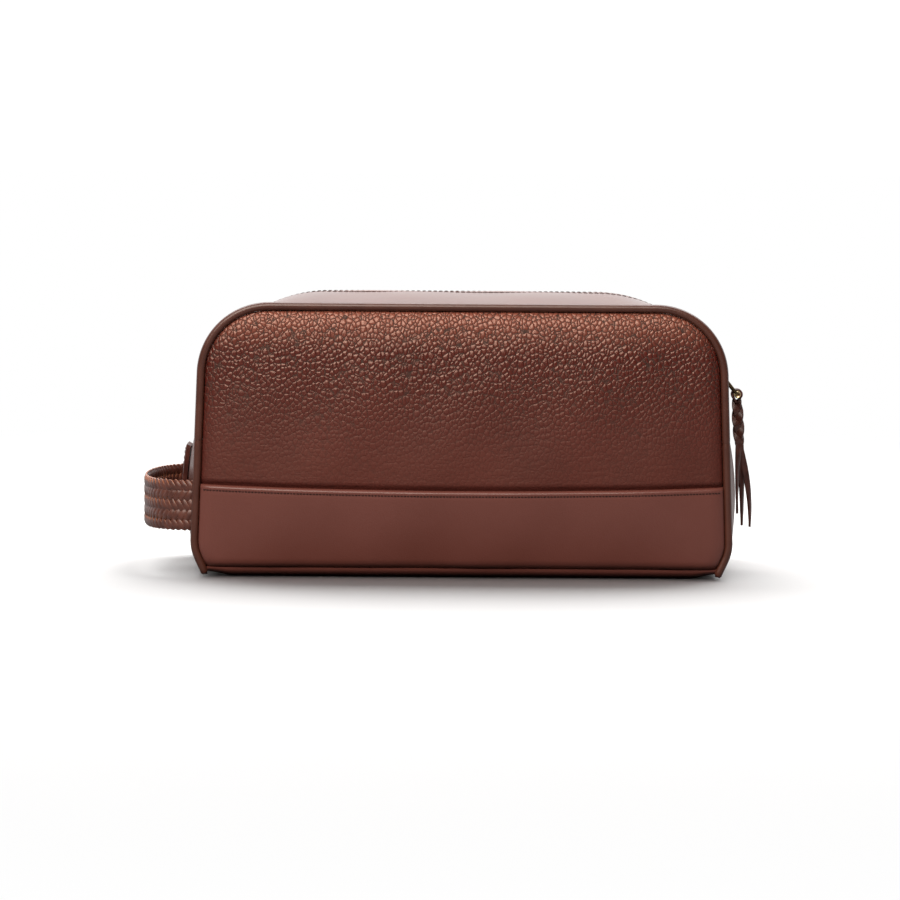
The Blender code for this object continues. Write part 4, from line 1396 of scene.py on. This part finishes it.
def makeLink():
    pivot, bar = (np.array(pullSizes[key]) for key in ("pivot", "bar"))
    down = unit(bar - pivot)
    length = float(np.linalg.norm(bar - pivot))
    half = pullSizes["linkWidth"] / 2
    turn, squash = pullSizes["linkTurn"], pullSizes["linkSquash"]
    side, low = half - turn, length - turn * squash
    corners = ((turn, side, 90), (turn, -side, 180), (low, -side, 270), (low, side, 0))
    outline = []
    for centreAlong, centreY, first in corners:
        for angle in np.linspace(math.radians(first), math.radians(first + 90), 8):
            reach = turn if centreAlong < length / 2 else turn * squash
            outline.append((centreAlong + reach * math.cos(angle), centreY + turn * math.sin(angle)))
    path = np.array([pivot + down * along + np.array([0, y, 0]) for along, y in outline])
    rings = tubeAround(path, pullSizes["wire"], closed=True)
    rings = np.vstack([rings, rings[:1]])
    return weldSeam(gridObject("linkWire", rings, None, brassDark, loop=True))


def makeBarrel():
    # a brass eyelet tube through the thong's loop
    bar = np.array(pullSizes["bar"])
    outer, inner, half = (pullSizes[key] for key in ("barrel", "barrelBore", "barrelHalf"))
    # one end's lip, as radii and places along the bar, then the other end's
    lip = [(inner, half), (outer + 0.0002, half), (outer + 0.0003, half - 0.0004), (outer, half - 0.0007)]
    profile = [(radius, -y) for radius, y in lip] + lip[::-1]
    angles = np.linspace(0, 2 * math.pi, 28, endpoint=False)
    circle = [(math.cos(angle), math.sin(angle)) for angle in angles]
    rings = [[bar + np.array([radius * c, y, radius * d]) for c, d in circle] for radius, y in profile]
    rings.append(rings[0])
    return weldSeam(gridObject("barrel", np.array(rings), None, brassPale, loop=True))


pullLink = joinPieces("pullLink", [makeLink(), makeBarrel()])
finishPiece(pullLink, body="pull", nodes=["pull_link"])


def makeThongLoop():
    bar = np.array(pullSizes["bar"])
    radius = pullSizes["barrel"] + 0.0003 + pullSizes["thongThickness"] / 2
    topX, _, topZ = pullSizes["braidTop"]
    points = [(topX + 0.0004, 0, topZ - 0.0012)]
    for angle in np.linspace(math.radians(-40), math.radians(220), 14):
        points.append((bar[0] + radius * math.cos(angle), 0, bar[2] + radius * math.sin(angle)))
    points.append((topX - 0.0004, 0, topZ - 0.0012))
    path = smoothPath(points, 60)
    widthWay = np.tile([0.0, 1.0, 0.0], (60, 1))
    rings = ribbonGrid(path, widthWay, pullSizes["loopWidth"], pullSizes["thongThickness"])
    return gridObject("thongLoop", rings, None, darkLeather, loop=True, closedEnds=True)


def makeStrand(number):
    # one thong of the plait, then its loose tail
    top, bottom = np.array(pullSizes["braidTop"]), np.array(pullSizes["braidBottom"])
    share = np.linspace(0, 1, 60)[:, None]
    phase = 2 * math.pi * number / 3
    turn = share * pullSizes["crossings"] * math.pi + phase
    middle = top + (bottom - top) * share
    squeeze = 0.35 + 0.65 * np.sin(share * math.pi) ** 0.6
    sway = np.hstack([0.0013 * np.sin(turn), 0.0013 * np.sin(2 * turn), 0 * share]) * squeeze
    braid = middle + sway
    end = np.array(pullSizes["tailEnds"][number])
    start = braid[-1]
    lean = np.linspace(0, 1, 50)[1:, None]
    way = np.sin(lean * math.pi / 2) ** 0.9
    bow = np.sin(lean * math.pi) * np.array([0.0004 * (number - 1), 0.0004 * (number - 1), 0])
    tail = start + (end - start) * np.hstack([way, way, lean]) + bow
    path = np.vstack([braid, tail])
    # the thongs lie flat to the front in the plait, and the tails twist away towards their tips
    twist = 0.5 * np.cos(turn)
    tailTwist = twist[-1] + (1.2 + 0.3 * number) * lean
    facing = np.vstack([
        np.hstack([np.cos(twist), np.sin(twist), 0 * turn]),
        np.hstack([np.cos(tailTwist), np.sin(tailTwist), 0 * lean]),
    ])
    narrowing = np.linspace(1, 0.72, 49)
    width = np.concatenate([np.full(60, pullSizes["thongWidth"]), narrowing * pullSizes["thongWidth"]])
    width[-9:] *= np.linspace(1, 0.30, 9)
    thickness = np.full(109, pullSizes["thongThickness"])
    rings = ribbonGrid(path, facing, width, thickness)
    return gridObject(f"strand{number}", rings, None, darkLeather, loop=True, closedEnds=True)


thong = joinPieces("thongPull", [makeThongLoop(), *(makeStrand(k) for k in range(3))])
finishPiece(
    thong,
    body="puller",
    nodes=["puller_loop", "puller_braid", "puller_tail_inner", "puller_tail_middle", "puller_tail_outer"],
)
print("pull made")


# handle

handleSizes = {
    "width": 0.0246,
    "height": 0.0352,
    "strands": 11,
    "pitch": 0.0031,
    "thongWidth": 0.0027,
    "thongThickness": 0.0011,
    "lift": 0.00062,
    "path": [
        (-0.1318, -0.0496),
        (-0.1375, -0.0486),
        (-0.1460, -0.0452),
        (-0.1540, -0.0365),
        (-0.1588, -0.0215),
        (-0.1602, -0.0030),
        (-0.1588, 0.0160),
        (-0.1545, 0.0330),
        (-0.1465, 0.0450),
        (-0.1375, 0.0490),
        (-0.1318, 0.0496),
    ],
}


def makeHandle():
    # thongs plaited flat, each passing over two and under two between the strap's edges
    sizes = handleSizes
    centre = smoothPath(sizes["path"], 400)
    ways = unit(np.gradient(centre, axis=0))
    normals = np.stack([ways[:, 1], -ways[:, 0]], axis=1)
    if (normals * (centre - np.array([-0.14, 0]))).sum() < 0:
        normals = -normals
    lengths = lengthsOf(centre)
    total = lengths[-1]
    count = sizes["strands"]
    period = count * sizes["pitch"]
    reach = sizes["width"] / 2 - sizes["thongWidth"] * 0.32
    pieces = []
    for number in range(count):
        places = np.linspace(0.0, total, 520)
        phase = (places / period + number / count) % 1.0
        rising = phase < 0.5
        saw = np.where(rising, 4 * phase - 1, 3 - 4 * phase)
        # the turn at each edge is rounded
        across = np.sin(np.clip(saw, -1, 1) * math.pi / 2) * 0.25 + saw * 0.75
        row = (saw + 1) / 2 * 5
        wanted = np.where(rising, 1.0, -1.0) * np.cos(math.pi * (row - 0.5)) * 1.6
        lift = np.clip(wanted, -1, 1) * sizes["lift"]
        nearEdge = smooth((np.abs(saw) - 0.9) / 0.1)
        lift = lift * (1 - nearEdge * 0.5)
        kernel = np.ones(7) / 7
        lift = np.convolve(np.pad(lift, 3, mode="edge"), kernel, mode="valid")
        flat = np.stack([np.interp(places, lengths, centre[:, k]) for k in (0, 1)], axis=1)
        facing = unit(np.stack([np.interp(places, lengths, normals[:, k]) for k in (0, 1)], axis=1))
        flat = flat + facing * lift[:, None]
        path = np.column_stack([flat, sizes["height"] + across * reach])
        along = np.gradient(path, axis=0)
        facing3 = np.column_stack([facing, np.zeros(len(places))])
        widthWay = np.cross(unit(along), facing3)
        grid = ribbonGrid(path, widthWay, sizes["thongWidth"], sizes["thongThickness"])
        thong = gridObject(f"thong{number}", grid, None, strapLeather, loop=True, closedEnds=True)
        markEdges(thong, grid.shape[1], (0, 4, 5, 9))
        pieces.append(thong)
    return joinPieces("handleStrap", pieces)


handle = makeHandle()
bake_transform(handle)
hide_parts("handle_strap", "handle_end_front", "handle_end_back")
print("handle made")


# tab over the zip's end

tabSizes = {"width": 0.0200, "top": 0.0622, "bottom": 0.0300, "thickness": 0.0023, "stand": 0.0047}


def makeTab():
    sizes = tabSizes
    heights = np.linspace(sizes["bottom"], sizes["top"], 40)
    places = placeAt(heights, -1)[:, None]
    ends = np.minimum(heights - sizes["bottom"], sizes["top"] - heights)
    half = sizes["width"] / 2 * (0.80 + 0.20 * rounded(ends + 0.0002, 0.004))
    y = half[:, None] * np.linspace(-1, 1, 26)[None, :]
    lean = 0.0012 * (1 - (heights - sizes["bottom"]) / (sizes["top"] - sizes["bottom"]))[:, None]
    edge = np.minimum(ends[:, None], half[:, None] - np.abs(y))
    offset = sizes["stand"] + lean - 0.0006 * (1 - rounded(edge + 0.0001, 0.0010))
    return gridObject("zipTab", gussetPoint(places, y, offset), fromMiddle, darkLeather, sizes["thickness"])


def tabStitches():
    sizes = tabSizes
    half, inset = sizes["width"] / 2 - 0.0022, 0.0024
    low, high = sizes["bottom"] + inset, sizes["top"] - inset
    corners = [(-half, low), (-half, high), (half, high), (half, low), (-half, low)]
    loop = resample(np.array(corners), np.linspace(0, lengthsOf(np.array(corners))[-1], 160))
    lean = 0.0012 * (1 - (loop[:, 1] - sizes["bottom"]) / (sizes["top"] - sizes["bottom"]))
    points, outward = pathOnGusset(placeAt(loop[:, 1], -1), loop[:, 0], sizes["stand"] + lean - 0.00015)
    return rowAlong("zipTabStitches", points, outward, longStitch, 0.0028, threadBrown)


finishPiece(makeTab(), nodes=["zip_end_tab"])
finishPiece(tabStitches())
for template in (stitch, longStitch):
    bpy.data.objects.remove(template, do_unlink=True)
print("tab made")


# finishes of the pieces kept from the frame

keptFinishes = {"base_board": boardPlastic, "zip_bottom_stop": brassAged, "zip_top_stop": brassAged}
for nodeName, material in keptFinishes.items():
    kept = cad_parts[nodeName]
    kept.data.materials.clear()
    kept.data.materials.append(material)


# floor, light and camera

studio = {
    "floorHalf": 40.0,
    "floorTone": 0.86,
    "whiteFrom": 0.35,
    "whiteTo": 0.9,
    "behind": 1.7,
    "above": 0.22,
    "infront": 0.05,
    "floorBounce": 0.36,
    "seenStrength": 1.1,
    "behindRange": (-0.15, 0.45),
    "aboveRange": (0.25, 0.9),
    "aim": (0, 0, 0.07),
}


def makeFloor():
    mesh = bpy.data.meshes.new("floor")
    half = studio["floorHalf"]
    corners = [(-half, -half, 0), (half, -half, 0), (half, half, 0), (-half, half, 0)]
    mesh.from_pydata(corners, [], [(0, 1, 2, 3)])
    material, tree, shader, coordinates = startMaterial("floorPaper", 0.8, 0.1)
    noise = nodeOf(tree, "ShaderNodeTexNoise")
    noise.inputs["Scale"].default_value = 30.0
    tree.links.new(coordinates.outputs["Object"], noise.inputs["Vector"])
    tone = studio["floorTone"]
    paper = mixColours(tree, noise.outputs["Fac"], (tone, tone, tone), (tone + 0.01,) * 3)
    bounce = studio["floorBounce"]
    # away from the bag the paper is lit up to plain white
    distance = nodeOf(tree, "ShaderNodeVectorMath", operation="LENGTH")
    tree.links.new(coordinates.outputs["Object"], distance.inputs[0])
    path = nodeOf(tree, "ShaderNodeLightPath")
    shown = mixColours(tree, path.outputs["Is Camera Ray"], (bounce, bounce, bounce), paper)
    tree.links.new(shown, shader.inputs["Base Color"])
    reach = rampNode(tree, distance.outputs["Value"], studio["whiteFrom"], studio["whiteTo"])
    glow = nodeOf(tree, "ShaderNodeEmission")
    mix = nodeOf(tree, "ShaderNodeMixShader")
    tree.links.new(mathNode(tree, "MULTIPLY", reach, path.outputs["Is Camera Ray"]), mix.inputs["Fac"])
    tree.links.new(shader.outputs["BSDF"], mix.inputs[1])
    tree.links.new(glow.outputs["Emission"], mix.inputs[2])
    tree.links.new(mix.outputs["Shader"], tree.nodes["Material Output"].inputs["Surface"])
    mesh.materials.append(material)
    made = newObject("floor", mesh)
    return made


def makeWorld():
    world = bpy.data.worlds.new("studio")
    bpy.context.scene.world = world
    world.use_nodes = True
    tree = world.node_tree
    tree.nodes.clear()
    output = nodeOf(tree, "ShaderNodeOutputWorld")
    seen = nodeOf(tree, "ShaderNodeBackground")
    seen.inputs["Color"].default_value = (1, 1, 1, 1)
    seen.inputs["Strength"].default_value = studio["seenStrength"]
    light = nodeOf(tree, "ShaderNodeBackground")
    coordinates = nodeOf(tree, "ShaderNodeTexCoord")
    split = nodeOf(tree, "ShaderNodeSeparateXYZ")
    tree.links.new(coordinates.outputs["Generated"], split.inputs["Vector"])
    back = rampNode(tree, split.outputs["Y"], *studio["behindRange"])
    up = rampNode(tree, split.outputs["Z"], *studio["aboveRange"])
    level = mathNode(tree, "ADD", mathNode(tree, "MULTIPLY", back, studio["behind"]), studio["infront"])
    level = mathNode(tree, "ADD", level, mathNode(tree, "MULTIPLY", up, studio["above"]))
    tree.links.new(level, light.inputs["Strength"])
    path = nodeOf(tree, "ShaderNodeLightPath")
    mix = nodeOf(tree, "ShaderNodeMixShader")
    tree.links.new(path.outputs["Is Camera Ray"], mix.inputs["Fac"])
    tree.links.new(light.outputs["Background"], mix.inputs[1])
    tree.links.new(seen.outputs["Background"], mix.inputs[2])
    tree.links.new(mix.outputs["Shader"], output.inputs["Surface"])


softboxes = {
    "front": {
        "place": (-0.34, -1.00, 0.92),
        "size": (1.2, 0.85),
        "power": 29.0,
        "warmth": (1.0, 0.86, 0.76),
        "lightsFloor": False,
    },
    "top": {
        "place": (0.0, 0.52, 1.12),
        "size": (1.7, 0.7),
        "power": 19.0,
        "warmth": (1.0, 0.975, 0.96),
        "lightsFloor": True,
    },
}


def makeSoftbox(name, look, floor):
    light = bpy.data.lights.new(name, "AREA")
    light.shape = "RECTANGLE"
    light.size, light.size_y = look["size"]
    light.energy = look["power"]
    light.color = look["warmth"]
    made = bpy.data.objects.new(name, light)
    sceneCollection.objects.link(made)
    place = Vector(look["place"])
    made.location = place
    made.rotation_euler = (Vector(studio["aim"]) - place).to_track_quat("-Z", "Y").to_euler()
    if not look["lightsFloor"]:
        # the front box is flagged off the floor
        flagged = bpy.data.collections.new(f"{name}Flag")
        flagged.objects.link(floor)
        flagged.collection_objects[0].light_linking.link_state = "EXCLUDE"
        made.light_linking.receiver_collection = flagged


cameraView = {"place": (-0.006, -1.8, 0.21), "down": 4.775, "roll": 0.4, "lens": 141.5}


def makeCamera():
    lens = bpy.data.cameras.new("camera")
    lens.lens = cameraView["lens"]
    lens.sensor_width = 36.0
    lens.clip_end = 200.0
    made = bpy.data.objects.new("camera", lens)
    sceneCollection.objects.link(made)
    tip = Matrix.Rotation(math.radians(90 - cameraView["down"]), 4, "X")
    roll = Matrix.Rotation(math.radians(cameraView["roll"]), 4, "Z")
    turn = tip @ roll
    made.matrix_world = Matrix.Translation(cameraView["place"]) @ turn
    bpy.context.scene.camera = made


floor = makeFloor()
makeWorld()
for name, look in softboxes.items():
    makeSoftbox(name, look, floor)
makeCamera()
bpy.context.scene.view_settings.view_transform = "Standard"
print("studio made")
